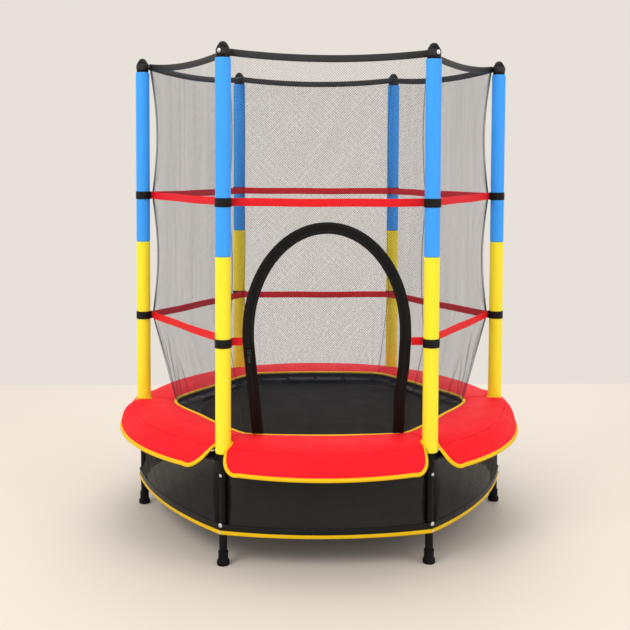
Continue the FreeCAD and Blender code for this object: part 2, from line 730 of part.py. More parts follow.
def pad_notch():
    """The cutter at a post: round the pole, then widening to the hem with rounded corners."""
    half_hem = PAD_NOTCH_HEM_WIDTH / 2
    beyond = PAD_HEM_R + PAD_CORNER_R
    edge = []
    for turn in (180, 150, 120, 90):
        place = polar(PAD_NOTCH_R, turn)
        edge.append((POST_CIRCLE_R + place.x, place.y))
    for turn in (0, 30, 60, 90):
        place = polar(PAD_CORNER_R, turn - 90)
        edge.append((PAD_HEM_R - PAD_CORNER_R + place.x, half_hem + PAD_CORNER_R + place.y))
    edge.append((beyond, half_hem + PAD_CORNER_R))
    mirrored = [(r, -v) for r, v in edge[:0:-1]]
    return upright_prism(edge + mirrored, PAD_HEM_Z - 2 * PAD_FLAP_THICKNESS, PAD_CROWN_Z + PAD_FLAP_THICKNESS)


def pad_section():
    """One side's pad from seam to seam, notched round the pole at each end."""
    end = SECTOR / 2 - math.degrees(PAD_SEAM / 2 / PAD_INNER_CORNER_R)
    sections = []
    for i in range(PAD_SPANS + 1):
        angle = end * (2 * i / PAD_SPANS - 1)
        profile = pad_profile(pad_inner_r(angle))
        sections.append([polar(r, FRONT + angle, z) for r, z in profile])
    notch = pad_notch()
    return skin(sections).cut([turned(notch, FRONT + SECTOR / 2 * side) for side in (-1, 1)])


def side_angles():
    """Angles from the middle of a side at which the ring bends, with the posts at either end."""
    bends = [SPRING_STEP * (i - (SPRINGS_PER_SIDE - 1) / 2) for i in range(SPRINGS_PER_SIDE)]
    return [-SECTOR / 2] + bends + [SECTOR / 2]


def skirt_line(angle, z):
    """Radius of the skirt's outer face: round at the ring, and bowed out between the legs at the hem."""
    hem = bowed_radius(POST_CIRCLE_R + LEG_R + HEM_LEG_GAP, SKIRT_BULGE, angle)
    ring = POST_CIRCLE_R + RAIL_R + SKIRT_RING_GAP + SKIRT_THICKNESS
    return hem + (ring - hem) * (z - HEM_BAND_BOTTOM_Z) / (RING_Z - HEM_BAND_BOTTOM_Z)


def skirt_piece(standoff, thickness, levels):
    """A strip of the skirt from post to post, standing off its outer face."""
    angles = side_angles()
    sections = []
    for z in levels:
        inner = [polar(skirt_line(a, z) + standoff, FRONT + a, z) for a in angles]
        outer = [polar(skirt_line(a, z) + standoff + thickness, FRONT + a, z) for a in angles]
        sections.append(inner + outer[::-1])
    return skin(sections)


def skirt_panel():
    """Mesh from the ring's outer face down to the hem, open at the legs on either side."""
    levels = (HEM_BAND_BOTTOM_Z, HEM_BAND_BOTTOM_Z + HEM_BAND_HEIGHT, RING_Z)
    near, far, half = POST_CIRCLE_R - SOCKET_R, POST_CIRCLE_R + 2 * SOCKET_R, LEG_R + SKIRT_LEG_GAP
    bay = upright_prism([(near, -half), (far, -half), (far, half), (near, half)], levels[0], levels[-1])
    panel = skirt_piece(-SKIRT_THICKNESS, SKIRT_THICKNESS, levels)
    return panel.cut([turned(bay, FRONT + SECTOR / 2 * side) for side in (-1, 1)])


def skirt_band():
    """Black webbing along the hem, drilled at each end for the bolt that holds it to the leg."""
    levels = (HEM_BAND_BOTTOM_Z, HEM_BAND_BOTTOM_Z + HEM_BAND_HEIGHT)
    strip = skirt_piece(CLEAR, HEM_BAND_THICKNESS, levels)
    hole = bolt_hole(HEM_BOLT_Z, 0, 2 * LEG_R)
    return strip.cut([turned(hole, FRONT + SECTOR / 2 * side) for side in (-1, 1)])


def skirt_binding():
    top = HEM_BAND_BOTTOM_Z - CLEAR / 3
    return skirt_piece(CLEAR, HEM_BINDING_THICKNESS, (top - HEM_BINDING_HEIGHT, top))


def hem_bolt_seat():
    """Where the band's outer face crosses the post's radial plane, from the post's axis."""
    return skirt_line(SECTOR / 2, HEM_BOLT_Z) + 2 * CLEAR + HEM_BAND_THICKNESS - POST_CIRCLE_R


def build():
    """Every node's solids by the node's name."""
    nodes = {}

    def per_place(name, shapes):
        for i, shape in enumerate(shapes):
            nodes[f"{name}_{i + 1}"] = [shape]

    per_place("top_rail", on_every_post(top_rail()))
    per_place("leg", on_every_post(leg()))
    nodes["rubber_feet"] = on_every_post(foot())
    nodes["lower_poles"] = on_every_post(lower_pole())
    nodes["upper_poles"] = on_every_post(upper_pole())
    per_place("lower_foam", on_every_post(foam_sleeve(COLLAR_TOP + CLEAR, POLE_JOINT_Z)))
    per_place("upper_foam", on_every_post(foam_sleeve(POLE_JOINT_Z + CLEAR, FOAM_TOP_Z)))
    nodes["pole_caps"] = on_every_post(pole_cap())
    nodes["cap_bolts"] = on_every_post(bolt(CAP_BOLT_Z, CAP_R, POLE_R + CLEAR))
    bolt_end = LEG_R - LEG_WALL - BOLT_PAST_WALL
    upper_bolt, hem_bolt = bolt(UPPER_BOLT_Z, SOCKET_R, bolt_end), bolt(HEM_BOLT_Z, hem_bolt_seat(), bolt_end)
    nodes["leg_bolts"] = on_every_post(upper_bolt) + on_every_post(hem_bolt)
    nodes["pole_ties"] = on_every_post(tie(UPPER_STRAP_Z)) + on_every_post(tie(LOWER_STRAP_Z))
    nodes["net_straps"] = straps()
    nodes["top_band"] = on_every_side(top_band())
    for side, tiers in enumerate(zip(*[on_every_side(tier) for tier in net_panel()])):
        nodes[f"net_panel_{side + 1}"] = list(tiers)
    nodes["net_hem"] = on_every_side(net_hem())
    nodes["door_binding"] = [door_binding()]
    nodes["zip_teeth"] = [zip_teeth()]
    nodes["zip_slider"] = [zip_slider()]
    nodes["zip_pull"] = [zip_pull()]
    nodes["jump_mat"] = [jump_mat()]
    nodes["mat_webbing"] = [mat_webbing()]
    nodes["triangle_rings"] = [turned(triangle_ring(), a) for a in spring_azimuths()]
    nodes["springs"] = [turned(spring(), a) for a in spring_azimuths()]
    per_place("pad_section", on_every_side(pad_section()))
    nodes["skirt_mesh"] = on_every_side(skirt_panel())
    nodes["skirt_band"] = on_every_side(skirt_band())
    nodes["skirt_binding"] = on_every_side(skirt_binding())
    return nodes


def main():
    os.makedirs("parts", exist_ok=True)
    for name, solids in build().items():
        shape = solids[0] if len(solids) == 1 else Part.makeCompound(solids)
        shape.exportStep(f"parts/{name}.step")


main()
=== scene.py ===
"""Looks of the enclosed trampoline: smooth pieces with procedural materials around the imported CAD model.

Metres, +Z up, the same frame as the CAD. Sides and posts are numbered with azimuth, from the front (-Y).
What belongs to a post is drawn on +X and turned. What belongs to a side is drawn at the front and turned.
"""

import math

import bpy
from mathutils import Matrix, Vector, noise


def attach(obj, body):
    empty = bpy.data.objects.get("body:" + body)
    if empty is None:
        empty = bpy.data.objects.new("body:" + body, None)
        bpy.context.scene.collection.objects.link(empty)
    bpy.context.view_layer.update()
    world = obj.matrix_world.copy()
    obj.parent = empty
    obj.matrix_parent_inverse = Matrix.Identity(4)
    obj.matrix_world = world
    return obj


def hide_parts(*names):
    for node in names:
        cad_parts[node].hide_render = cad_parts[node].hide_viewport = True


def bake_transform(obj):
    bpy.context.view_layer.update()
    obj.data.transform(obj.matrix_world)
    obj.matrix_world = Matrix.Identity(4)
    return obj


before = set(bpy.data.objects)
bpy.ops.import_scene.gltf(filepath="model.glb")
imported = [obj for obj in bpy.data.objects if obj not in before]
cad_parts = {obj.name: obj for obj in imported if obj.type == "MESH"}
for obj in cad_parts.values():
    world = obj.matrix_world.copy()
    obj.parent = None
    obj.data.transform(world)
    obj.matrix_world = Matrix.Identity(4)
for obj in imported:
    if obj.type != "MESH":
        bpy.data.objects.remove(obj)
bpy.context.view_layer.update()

MM = 0.001
ROOT = "frame_and_cage"
FRONT = 270.0
HALF = math.radians(30)
SIDES = range(6)
POSTS = range(6)

# Frame
POST_R = 636 * MM
RING_Z = 333 * MM
TUBE_R = 12.5 * MM
LEG_FOOT_Z = 8 * MM
LEG_TOP_Z = 316 * MM
COLLAR_TOP = 348 * MM

# Enclosure poles
FOAM_R = 24 * MM
FOAM_JOINT_Z = 951 * MM
FOAM_TOP_Z = 1551 * MM
CAP_LOOP_Z = 1569.5 * MM

# Cage net, band, straps and door
BAND_CORNER_R = 614 * MM
BAND_END_Z = 1570 * MM
BAND_SAG = 18 * MM
BAND_HEIGHT = 22 * MM
UPPER_STRAP_Z = 1116 * MM
LOWER_STRAP_Z = 687 * MM
STRAP_HEIGHT = 25 * MM
NET_TIED_R = 604 * MM
NET_TOP_R = 611 * MM
NET_FOOT_R = 505 * MM
NET_FOOT_Z = 349 * MM
DOOR_HALF = 260.5 * MM
DOOR_RISE = 340 * MM
DOOR_SPRING_Z = 715 * MM
BINDING_WIDTH = 36 * MM
FOOT_LEAN = 30 * MM
RIGHT_FOOT_OUT = 15 * MM

# Mat and springs
MAT_R = 462 * MM
MAT_TOP_Z = 335.3 * MM
MAT_SCALLOP = 3.5 * MM
MAT_SAG = 3.0 * MM
SPRING_Z = 328 * MM
COIL_R = 6.3 * MM
COIL_START_R = 503 * MM
COIL_END_R = 603.5 * MM
COIL_TURNS = 34
COIL_STEPS = 9

# Pad and skirt
PAD_INNER_R = 512 * MM
PAD_BOW = 19.6 * MM
PAD_RING_R = 600 * MM
PAD_CREASE_R = 650 * MM
PAD_HEM_R = 700 * MM
PAD_INNER_FOOT_Z = 354.5 * MM
HEM_Z = 111 * MM
HEM_HEIGHT = 20 * MM
SKIRT_BULGE = 44 * MM
SKIRT_TUCK = 29 * MM


def side_azimuth(side):
    return FRONT + 60 * side


def post_azimuth(post):
    return FRONT + 30 + 60 * post


def polar(radius, azimuth, z=0.0):
    angle = math.radians(azimuth)
    return Vector((radius * math.cos(angle), radius * math.sin(angle), z))


def from_axis(p):
    return Vector((p.x, p.y)).length


def outward(p):
    """The level direction away from the trampoline's axis."""
    return Vector((p.x, p.y, 0)).normalized()


def in_mm(points):
    return [(x * MM, y * MM) for x, y in points]


def smooth(x):
    x = min(max(x, 0.0), 1.0)
    return x * x * (3 - 2 * x)


def bell(x, width):
    """1 at 0, falling off to either side."""
    return math.exp(-((x / width) ** 2))


def curve_through(points, x):
    """The height at x of straight lines through (x, y) points, level beyond both ends."""
    for (x0, y0), (x1, y1) in zip(points, points[1:]):
        if x <= x1:
            return y0 + (y1 - y0) * min(max((x - x0) / (x1 - x0), 0.0), 1.0)
    return points[-1][1]


def spline(points, steps):
    """Points on a Catmull-Rom curve through the given ones."""
    ends = [points[0] * 2 - points[1]] + points + [points[-1] * 2 - points[-2]]
    found = []
    for a, b, c, d in zip(ends, ends[1:], ends[2:], ends[3:]):
        for i in range(steps):
            t = i / steps
            curve = (2 * a - 5 * b + 4 * c - d) * t * t + (3 * b - a - 3 * c + d) * t**3
            found.append(0.5 * (2 * b + (c - a) * t + curve))
    return found + [points[-1]]


def crowded(count, much):
    """Steps from -1 to 1 that lie closer together towards both ends."""
    steps = [2 * i / count - 1 for i in range(count + 1)]
    return [much * math.sin(math.pi / 2 * t) + (1 - much) * t for t in steps]


def heading(path, i):
    """The direction of an open path at its point i."""
    return path[min(i + 1, len(path) - 1)] - path[max(i - 1, 0)]


def resample(points, step):
    """Evenly spaced points along a path, a little smoothed."""
    lengths = [0.0]
    for a, b in zip(points, points[1:]):
        lengths.append(lengths[-1] + (b - a).length)
    count = int(lengths[-1] / step)
    found, k = [], 0
    for i in range(count + 1):
        target = lengths[-1] * i / count
        while k < len(points) - 2 and lengths[k + 1] < target:
            k += 1
        span = lengths[k + 1] - lengths[k] or 1.0
        found.append(points[k].lerp(points[k + 1], min(max((target - lengths[k]) / span, 0), 1)))
    for _ in range(3):
        inner = [(a + b * 2 + c) / 4 for a, b, c in zip(found, found[1:], found[2:])]
        found = [found[0]] + inner + [found[-1]]
    return found


def disc(radius, sides):
    """Points of a circle."""
    angles = [2 * math.pi * i / sides for i in range(sides)]
    return [(radius * math.cos(angle), radius * math.sin(angle)) for angle in angles]


def rounded(width, height, radius, steps=3):
    """A rounded rectangle as (across, out) points, centred."""
    points = []
    for sx, sy, start in ((1, 1, 0), (-1, 1, 90), (-1, -1, 180), (1, -1, 270)):
        for i in range(steps + 1):
            angle = math.radians(start + 90 * i / steps)
            x = sx * (width / 2 - radius) + radius * math.cos(angle)
            points.append((x, sy * (height / 2 - radius) + radius * math.sin(angle)))
    return points


def round_post(z, radius, azimuths):
    """Points round the post on +X, and the directions away from its axis."""
    centre = Vector((POST_R, 0, z))
    path = [centre + polar(radius, azimuth) for azimuth in azimuths]
    return path, [(p - centre).normalized() for p in path]


def srgb(*values):
    """A linear colour from 0 to 255 display values."""
    return tuple((v / 255 / 12.92) if v < 11 else ((v / 255 + 0.055) / 1.055) ** 2.4 for v in values)


def shade(colour, factor):
    return tuple(min(c * factor, 1.0) for c in colour)


class Look:
    """A Principled material whose colour, bump and holes come from procedural patterns."""

    def __init__(self, name, colour, roughness, **sockets):
        self.material = bpy.data.materials.new(name)
        self.material.use_nodes = True
        self.tree = self.material.node_tree
        self.shader = self.tree.nodes["Principled BSDF"]
        self.shader.inputs["Base Color"].default_value = (*colour, 1)
        self.shader.inputs["Roughness"].default_value = roughness
        for socket, value in sockets.items():
            self.shader.inputs[socket.replace("_", " ")].default_value = value
        self.coordinates = self.tree.nodes.new("ShaderNodeTexCoord")

    def node(self, kind, *inputs, **settings):
        node = self.tree.nodes.new(kind)
        for name, value in settings.items():
            setattr(node, name, value)
        for i, value in enumerate(inputs):
            self.feed(node.inputs[i], value)
        return node

    def feed(self, socket, value):
        if isinstance(value, bpy.types.NodeSocket):
            self.tree.links.new(value, socket)
        else:
            socket.default_value = value

    def math(self, operation, *inputs):
        return self.node("ShaderNodeMath", *inputs, operation=operation).outputs[0]

    def spread(self, value, *limits):
        """A value taken from one range to another."""
        return self.node("ShaderNodeMapRange", value, *limits).outputs[0]

    def noise(self, scale, detail=3.0):
        node = self.node("ShaderNodeTexNoise")
        self.feed(node.inputs["Vector"], self.coordinates.outputs["Object"])
        node.inputs["Scale"].default_value = scale
        node.inputs["Detail"].default_value = detail
        return node.outputs["Fac"]

    def drawn(self, name):
        """A value that the mesh carries at its points."""
        return self.node("ShaderNodeAttribute", attribute_name=name).outputs["Fac"]

    def uv(self):
        node = self.node("ShaderNodeSeparateXYZ", self.coordinates.outputs["UV"])
        return node.outputs[0], node.outputs[1]

    def stripes(self, value, pitch, width):
        """1 on stripes that cover a share of each pitch, with soft edges."""
        phase = self.math("FRACT", self.math("DIVIDE", value, pitch))
        off = self.math("ABSOLUTE", self.math("SUBTRACT", phase, 0.5))
        return self.spread(off, 0.5 * width * 1.25, 0.5 * width * 0.75, 0.0, 1.0)

    def ridges(self, value, pitch):
        return self.math("SINE", self.math("MULTIPLY", value, 2 * math.pi / pitch))

    def threads(self, pitch, width):
        """1 on the threads of a mesh whose two families run at 45 degrees."""
        u, v = self.uv()
        one = self.stripes(self.math("ADD", u, v), pitch * math.sqrt(2), width)
        other = self.stripes(self.math("SUBTRACT", u, v), pitch * math.sqrt(2), width)
        return self.math("MAXIMUM", one, other)

    def vary(self, factor, other, amount=1.0):
        """Mixes the base colour towards another by a pattern."""
        mix = self.node("ShaderNodeMix", data_type="RGBA")
        self.feed(mix.inputs["Factor"], self.math("MULTIPLY", factor, amount))
        base = self.shader.inputs["Base Color"]
        if base.is_linked:
            self.feed(mix.inputs["A"], base.links[0].from_socket)
        else:
            mix.inputs["A"].default_value = base.default_value
        mix.inputs["B"].default_value = (*other, 1)
        self.feed(base, mix.outputs["Result"])
        return self

    def bump(self, height, distance, strength=1.0):
        """Adds a bump on top of those already there."""
        node = self.node("ShaderNodeBump")
        node.inputs["Distance"].default_value = distance
        node.inputs["Strength"].default_value = strength
        self.feed(node.inputs["Height"], height)
        normal = self.shader.inputs["Normal"]
        if normal.is_linked:
            self.feed(node.inputs["Normal"], normal.links[0].from_socket)
        self.feed(normal, node.outputs["Normal"])
        return self

    def rough(self, factor, low, high):
        self.feed(self.shader.inputs["Roughness"], self.spread(factor, 0.3, 0.7, low, high))
        return self

    def holes(self, cover):
        self.feed(self.shader.inputs["Alpha"], cover)
        return self


def foam_look(name, colour):
    """A soft plastic skin over foam: slightly uneven, with a fine leather grain."""
    look = Look(name, colour, 0.42, Specular_IOR_Level=0.3)
    look.vary(look.noise(6.0), shade(colour, 0.9), 0.4)
    look.vary(look.noise(240.0, 2), shade(colour, 1.2), 0.18)
    look.bump(look.noise(22.0, 2), 0.004, 0.22)
    look.bump(look.noise(900.0, 2), 0.0004, 0.35)
    return look.rough(look.noise(30.0), 0.36, 0.5)


def powder_look(name, colour):
    """Powder coat with its fine orange peel and a few dull marks."""
    look = Look(name, colour, 0.3, Specular_IOR_Level=0.16)
    look.vary(look.noise(60.0, 5), shade(colour, 2.0), 0.3)
    look.bump(look.noise(1400.0, 2), 0.0002, 0.3)
    return look.rough(look.noise(35.0, 4), 0.32, 0.5)


def metal_look(name, colour, roughness):
    look = Look(name, colour, roughness, Metallic=1.0)
    look.vary(look.noise(180.0, 4), shade(colour, 0.62), 0.5)
    look.bump(look.noise(1200.0, 3), 0.0002, 0.3)
    return look.rough(look.noise(220.0, 3), roughness * 0.8, roughness * 1.5)


def moulded_look(name, colour, roughness):
    look = Look(name, colour, roughness, Specular_IOR_Level=0.16)
    look.vary(look.noise(90.0, 4), shade(colour, 2.0), 0.3)
    look.bump(look.noise(1600.0, 2), 0.0003, 0.4)
    return look.rough(look.noise(40.0), roughness * 0.85, roughness * 1.2)


def webbing_look(name, colour, pitch, roughness=0.6, gap=0.45, **sockets):
    """Woven tape: ribs across its length and finer warp threads along it."""
    look = Look(name, colour, roughness, **{"Specular_IOR_Level": 0.2, **sockets})
    u, v = look.uv()
    ribs = look.ridges(v, pitch)
    warp = look.ridges(u, pitch * 0.7)
    weave = look.math("MULTIPLY", look.math("ADD", ribs, 1.0), look.math("ADD", warp, 1.4))
    look.vary(look.spread(weave, 0.0, 2.2, 1.0, 0.0), shade(colour, gap), 0.8)
    look.vary(look.noise(25.0, 4), shade(colour, 0.85), 0.4)
    look.bump(weave, 0.0003, 0.5)
    return look.bump(look.noise(60.0, 3), 0.001, 0.3)


def tape_look(name, colour, roughness=0.5):
    """Bias tape with two sewn rows: fine ribs, and stitches that dimple it."""
    look = webbing_look(name, colour, 1.6 * MM, roughness, 0.84)
    u, v = look.uv()
    row = look.stripes(u, 9.0 * MM, 0.09)
    stitch = look.math("MULTIPLY", row, look.stripes(v, 4.0 * MM, 0.62))
    look.vary(stitch, shade(colour, 0.7), 0.6)
    return look.bump(look.math("MULTIPLY", row, -1.0), 0.0008, 0.6)


def net_look():
    look = Look("net_mesh", srgb(42, 48, 58), 0.75, Specular_IOR_Level=0.1)
    look.vary(look.noise(30.0, 3), srgb(70, 80, 94), 0.6)
    gathered = look.drawn("gathered")
    return look.holes(look.math("MAXIMUM", look.threads(5.6 * MM, 0.085), gathered))


def skirt_look():
    look = Look("skirt_mesh", srgb(38, 37, 36), 0.7, Specular_IOR_Level=0.08)
    threads = look.threads(4.4 * MM, 0.6)
    look.vary(look.math("SUBTRACT", 1.0, threads), srgb(12, 12, 12), 0.9)
    look.vary(look.noise(5.0, 4), srgb(56, 55, 53), 0.45)
    look.bump(threads, 0.0004, 0.6)
    return look.holes(look.spread(threads, 0.0, 1.0, 0.7, 0.98))


def mat_look():
    """Coarse diagonal weave of flat black yarns."""
    look = Look("mat_black", srgb(38, 37, 35), 0.65, Specular_IOR_Level=0.03)
    u, v = look.uv()
    twill = look.ridges(look.math("ADD", u, v), 8.0 * MM)
    cross = look.ridges(look.math("SUBTRACT", u, v), 8.0 * MM)
    weave = look.math("ADD", twill, look.math("MULTIPLY", cross, 0.4))
    look.vary(look.spread(weave, -1.2, 1.0, 1.0, 0.0), srgb(14, 14, 13), 0.9)
    look.vary(look.noise(2.5, 2), srgb(44, 43, 41), 0.15)
    look.bump(weave, 0.0004, 0.5)
    return look.rough(look.noise(12.0, 3), 0.58, 0.72)


def pad_look():
    """Coated cloth in a plain weave, with painted shade: darker red along the flap's fold crease and where
    two pads meet, near-black where it faces down and on the inside wall.
    """
    look = Look("pad_red", srgb(243, 24, 36), 0.6, Specular_IOR_Level=0.08)
    u, v = look.uv()
    weave = look.math("MULTIPLY", look.ridges(u, 1.3 * MM), look.ridges(v, 1.3 * MM))
    look.vary(look.noise(5.0, 2), srgb(228, 16, 30), 0.5)
    look.vary(look.noise(420.0, 2), srgb(250, 60, 66), 0.15)
    # Painted shade: faces that look down, and the inside wall's points, turn near-black.
    facing = look.node("ShaderNodeSeparateXYZ", look.node("ShaderNodeNewGeometry").outputs["Normal"])
    wall_shade = look.drawn("wall_shade")
    down = look.math("LESS_THAN", facing.outputs[2], -0.35)
    look.vary(look.math("MAXIMUM", down, wall_shade), srgb(20, 20, 21))
    # Painted shade, darker red, along the fold crease and where two pads meet.
    look.vary(look.drawn("crease"), srgb(196, 10, 26), 0.75)
    look.bump(look.noise(14.0, 2), 0.004, 0.26)
    look.bump(weave, 0.0001, 0.4)
    return look.rough(look.noise(20.0, 3), 0.52, 0.66)


LOOKS = {
    "frame_black": powder_look("frame_black", srgb(8, 8, 9)),
    "galvanised_steel": metal_look("galvanised_steel", srgb(190, 192, 194), 0.35),
    "rubber": moulded_look("rubber", srgb(9, 9, 9), 0.6),
    "foam_blue": foam_look("foam_blue", srgb(56, 159, 252)),
    "foam_yellow": foam_look("foam_yellow", srgb(253, 231, 44)),
    "cap_plastic": moulded_look("cap_plastic", srgb(12, 12, 13), 0.36),
    "zinc": metal_look("zinc", srgb(226, 228, 230), 0.24),
    "tie_black": webbing_look("tie_black", srgb(13, 13, 14), 2.2 * MM, 0.4),
    "strap_red": webbing_look("strap_red", srgb(248, 18, 32), 2.4 * MM, 0.5, 0.7),
    "band_black": webbing_look("band_black", srgb(13, 13, 14), 2.0 * MM, 0.34, Specular_IOR_Level=0.45),
    "net_mesh": net_look(),
    "binding_black": tape_look("binding_black", srgb(4, 4, 5), 0.4),
    "zip_black": moulded_look("zip_black", srgb(14, 14, 15), 0.35),
    "zip_metal": metal_look("zip_metal", srgb(64, 65, 68), 0.22),
    "mat_black": mat_look(),
    "webbing_black": tape_look("webbing_black", srgb(14, 14, 14), 0.5),
    "pad_red": pad_look(),
    "skirt_mesh": skirt_look(),
    "skirt_webbing": webbing_look("skirt_webbing", srgb(4, 4, 5), 2.4 * MM, 0.34, Specular_IOR_Level=0.25),
    "piping_yellow": tape_look("piping_yellow", srgb(255, 205, 6), 0.5),
}


def put(name, data):
    made = bpy.data.objects.new(name, data)
    bpy.context.scene.collection.objects.link(made)
    return made


class Shape:
    """Collects surfaces through rows of points, with texture coordinates in metres, into one mesh."""

    def __init__(self):
        self.points = []
        self.faces = []
        self.corners = []

    def surface(self, rows, closed=False, ends=False, turn=0.0):
        """A surface through rows of equal length. closed joins up each row, ends fills the outer two."""
        matrix = Matrix.Rotation(math.radians(turn), 3, "Z")
        base = len(self.points)
        width = len(rows[0])
        around = width if closed else width - 1
        middle = rows[len(rows) // 2]
        u = [0.0]
        for i in range(around):
            u.append(u[-1] + (middle[(i + 1) % width] - middle[i]).length)
        v = [0.0]
        probe = width // 2
        for low, high in zip(rows, rows[1:]):
            v.append(v[-1] + (high[probe] - low[probe]).length)
        self.points += [matrix @ p for row in rows for p in row]
        for j in range(len(rows) - 1):
            for i in range(around):
                k = (i + 1) % width
                start = base + j * width
                self.faces.append((start + i, start + k, start + width + k, start + width + i))
                self.corners += [(u[i], v[j]), (u[i + 1], v[j]), (u[i + 1], v[j + 1]), (u[i], v[j + 1])]
        if ends:
            last = base + (len(rows) - 1) * width
            for ring in (range(base + width - 1, base - 1, -1), range(last, last + width)):
                self.faces.append(tuple(ring))
                self.corners += [(self.points[n].x, self.points[n].y) for n in ring]
        return self

    def sweep(self, path, outs, section, turn=0.0, closed=False):
        """A flat section swept along a path. outs are the directions of the section's second axis."""
        rows = []
        for n, (place, out) in enumerate(zip(path, outs)):
            along = path[(n + 1) % len(path)] - path[n - 1] if closed else heading(path, n)
            out = (out - along * (out.dot(along) / along.length_squared)).normalized()
            across = along.normalized().cross(out)
            rows.append([place + across * a + out * b for a, b in section])
        if closed:
            rows.append(rows[0])
        return self.surface(rows, closed=True, ends=not closed, turn=turn)

    def turning(self, profile, segments, turn):
        """A turning about a post's axis through (radius, z) points, from the bottom up."""
        rows = [[Vector((POST_R + x, y, z)) for x, y in disc(radius, segments)] for radius, z in profile]
        return self.surface(rows, closed=True, ends=True, turn=turn)

    def folded_tape(self, path, width, thick, turn):
        """Tape folded over an outward-facing edge, lying in the surface that falls away from the ring."""
        outs = []
        for i, p in enumerate(path):
            along = heading(path, i).normalized()
            radius = from_axis(p)
            lean = smooth((radius - 640 * MM) / (30 * MM))
            normal = Vector((p.x / radius, p.y / radius, 0)) * lean + Vector((0, 0, 1.2 - 0.7 * lean))
            outs.append((normal - along * normal.dot(along)).normalized())
        return self.sweep(path, outs, rounded(width, thick, thick * 0.46), turn)

    def make(self, name, slot, body=ROOT, nodes=()):
        mesh = bpy.data.meshes.new(name)
        mesh.from_pydata(self.points, [], self.faces)
        layer = mesh.uv_layers.new(name="UVMap")
        layer.data.foreach_set("uv", [value for corner in self.corners for value in corner])
        mesh.polygons.foreach_set("use_smooth", [True] * len(mesh.polygons))
        mesh.validate()
        mesh.update()
        made = put(name, mesh)
        mesh.materials.append(LOOKS[slot].material)
        mesh.set_sharp_from_angle(angle=math.radians(42))
        if body is not None:
            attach(made, body)
        if nodes:
            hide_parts(*nodes)
        return made


# The camera's place and lens, measured from the posts in the photograph

PHOTO_PX = 630
FOCAL_PX = 986.14
SHIFT_PX = 107
SENSOR_WIDTH = 36.0
CAMERA_PITCH, CAMERA_ROLL, CAMERA_TURN = 2.924, 0.238, -1.821
CAMERA_PLACE = Vector((-0.02216, -3.5382, 0.0))
CAMERA_HEIGHT = 1.2521

# Soft lamps: name, place, diameter, power and colour
LAMPS = [
    ("key", (-2.6, -3.0, 3.4), 2.4, 78, (1.0, 0.99, 0.97)),
    ("top", (0.0, 0.2, 3.9), 3.0, 32, (1.0, 1.0, 1.0)),
    ("fill", (3.2, -2.4, 2.0), 3.0, 30, (1.0, 0.98, 0.96)),
    ("back", (0.8, 3.4, 3.2), 3.0, 40, (1.0, 1.0, 1.0)),
]
LAMP_AIM = Vector((0, 0, 0.7))
WORLD_LIGHT = 0.86
FLOOR_REACH = 8
FLOOR_END_Y = 1.85


def add_camera():
    """A camera at the photograph's place. The shift puts its principal point above the frame's centre."""
    pitch, roll = math.radians(CAMERA_PITCH), math.radians(CAMERA_ROLL)
    around = Matrix.Rotation(math.radians(CAMERA_TURN), 3, "Z")
    right = around @ Vector((1, 0, 0))
    forward = around @ Vector((0, math.cos(pitch), -math.sin(pitch)))
    up = around @ Vector((0, math.sin(pitch), math.cos(pitch)))
    rolled_right = right * math.cos(roll) + up * math.sin(roll)
    rolled_up = up * math.cos(roll) - right * math.sin(roll)
    data = bpy.data.cameras.new("camera")
    data.sensor_width = SENSOR_WIDTH
    data.lens = FOCAL_PX / PHOTO_PX * SENSOR_WIDTH
    data.shift_y = -SHIFT_PX / PHOTO_PX
    camera = put("camera", data)
    place = around @ CAMERA_PLACE + Vector((0, 0, CAMERA_HEIGHT))
    basis = Matrix((rolled_right, rolled_up, -forward)).transposed().to_4x4()
    camera.matrix_world = Matrix.Translation(place) @ basis
    bpy.context.scene.camera = camera


def add_lamps():
    for name, place, size, power, colour in LAMPS:
        data = bpy.data.lights.new(name, "AREA")
        data.shape = "DISK"
        data.size = size
        data.energy = power
        data.color = colour
        lamp = put(name, data)
        lamp.location = place
        lamp.rotation_euler = (LAMP_AIM - Vector(place)).to_track_quat("-Z", "Y").to_euler()


def add_world():
    """Plain soft light, with a pale wall colour behind whatever the camera, gloss and glass see."""
    world = bpy.data.worlds.new("studio")
    world.use_nodes = True
    bpy.context.scene.world = world
    tree = world.node_tree
    seen = tree.nodes["Background"]
    seen.inputs["Color"].default_value = (*srgb(232, 225, 218), 1)
    seen.inputs["Strength"].default_value = 1.0
    light = tree.nodes.new("ShaderNodeBackground")
    light.inputs["Color"].default_value = (0.96, 0.98, 1.0, 1)
    light.inputs["Strength"].default_value = WORLD_LIGHT
    path = tree.nodes.new("ShaderNodeLightPath")
    total = path.outputs["Is Camera Ray"]
    for ray in ("Is Glossy Ray", "Is Transmission Ray"):
        either = tree.nodes.new("ShaderNodeMath")
        either.operation = "MAXIMUM"
        tree.links.new(total, either.inputs[0])
        tree.links.new(path.outputs[ray], either.inputs[1])
        total = either.outputs[0]
    mix = tree.nodes.new("ShaderNodeMixShader")
    tree.links.new(total, mix.inputs[0])
    tree.links.new(light.outputs[0], mix.inputs[1])
    tree.links.new(seen.outputs[0], mix.inputs[2])
    tree.links.new(mix.outputs[0], tree.nodes["World Output"].inputs[0])


def add_floor():
    """A pale floor that ends behind the trampoline, where the photograph's wall begins."""
    look = Look("floor", srgb(226, 214, 202), 0.6, Specular_IOR_Level=0.2)
    look.vary(look.noise(0.8, 4), srgb(216, 202, 188), 0.5)
    mesh = bpy.data.meshes.new("floor")
    near, far = -FLOOR_REACH, FLOOR_END_Y
    corners = [(near, near, 0.0), (-near, near, 0.0), (-near, far, 0.0), (near, far, 0.0)]
    mesh.from_pydata(corners, [], [(0, 1, 2, 3)])
    floor = put("floor", mesh)
    mesh.materials.append(look.material)


# Frame. Profiles of turned pieces are radius and height in millimetres, from the bottom up

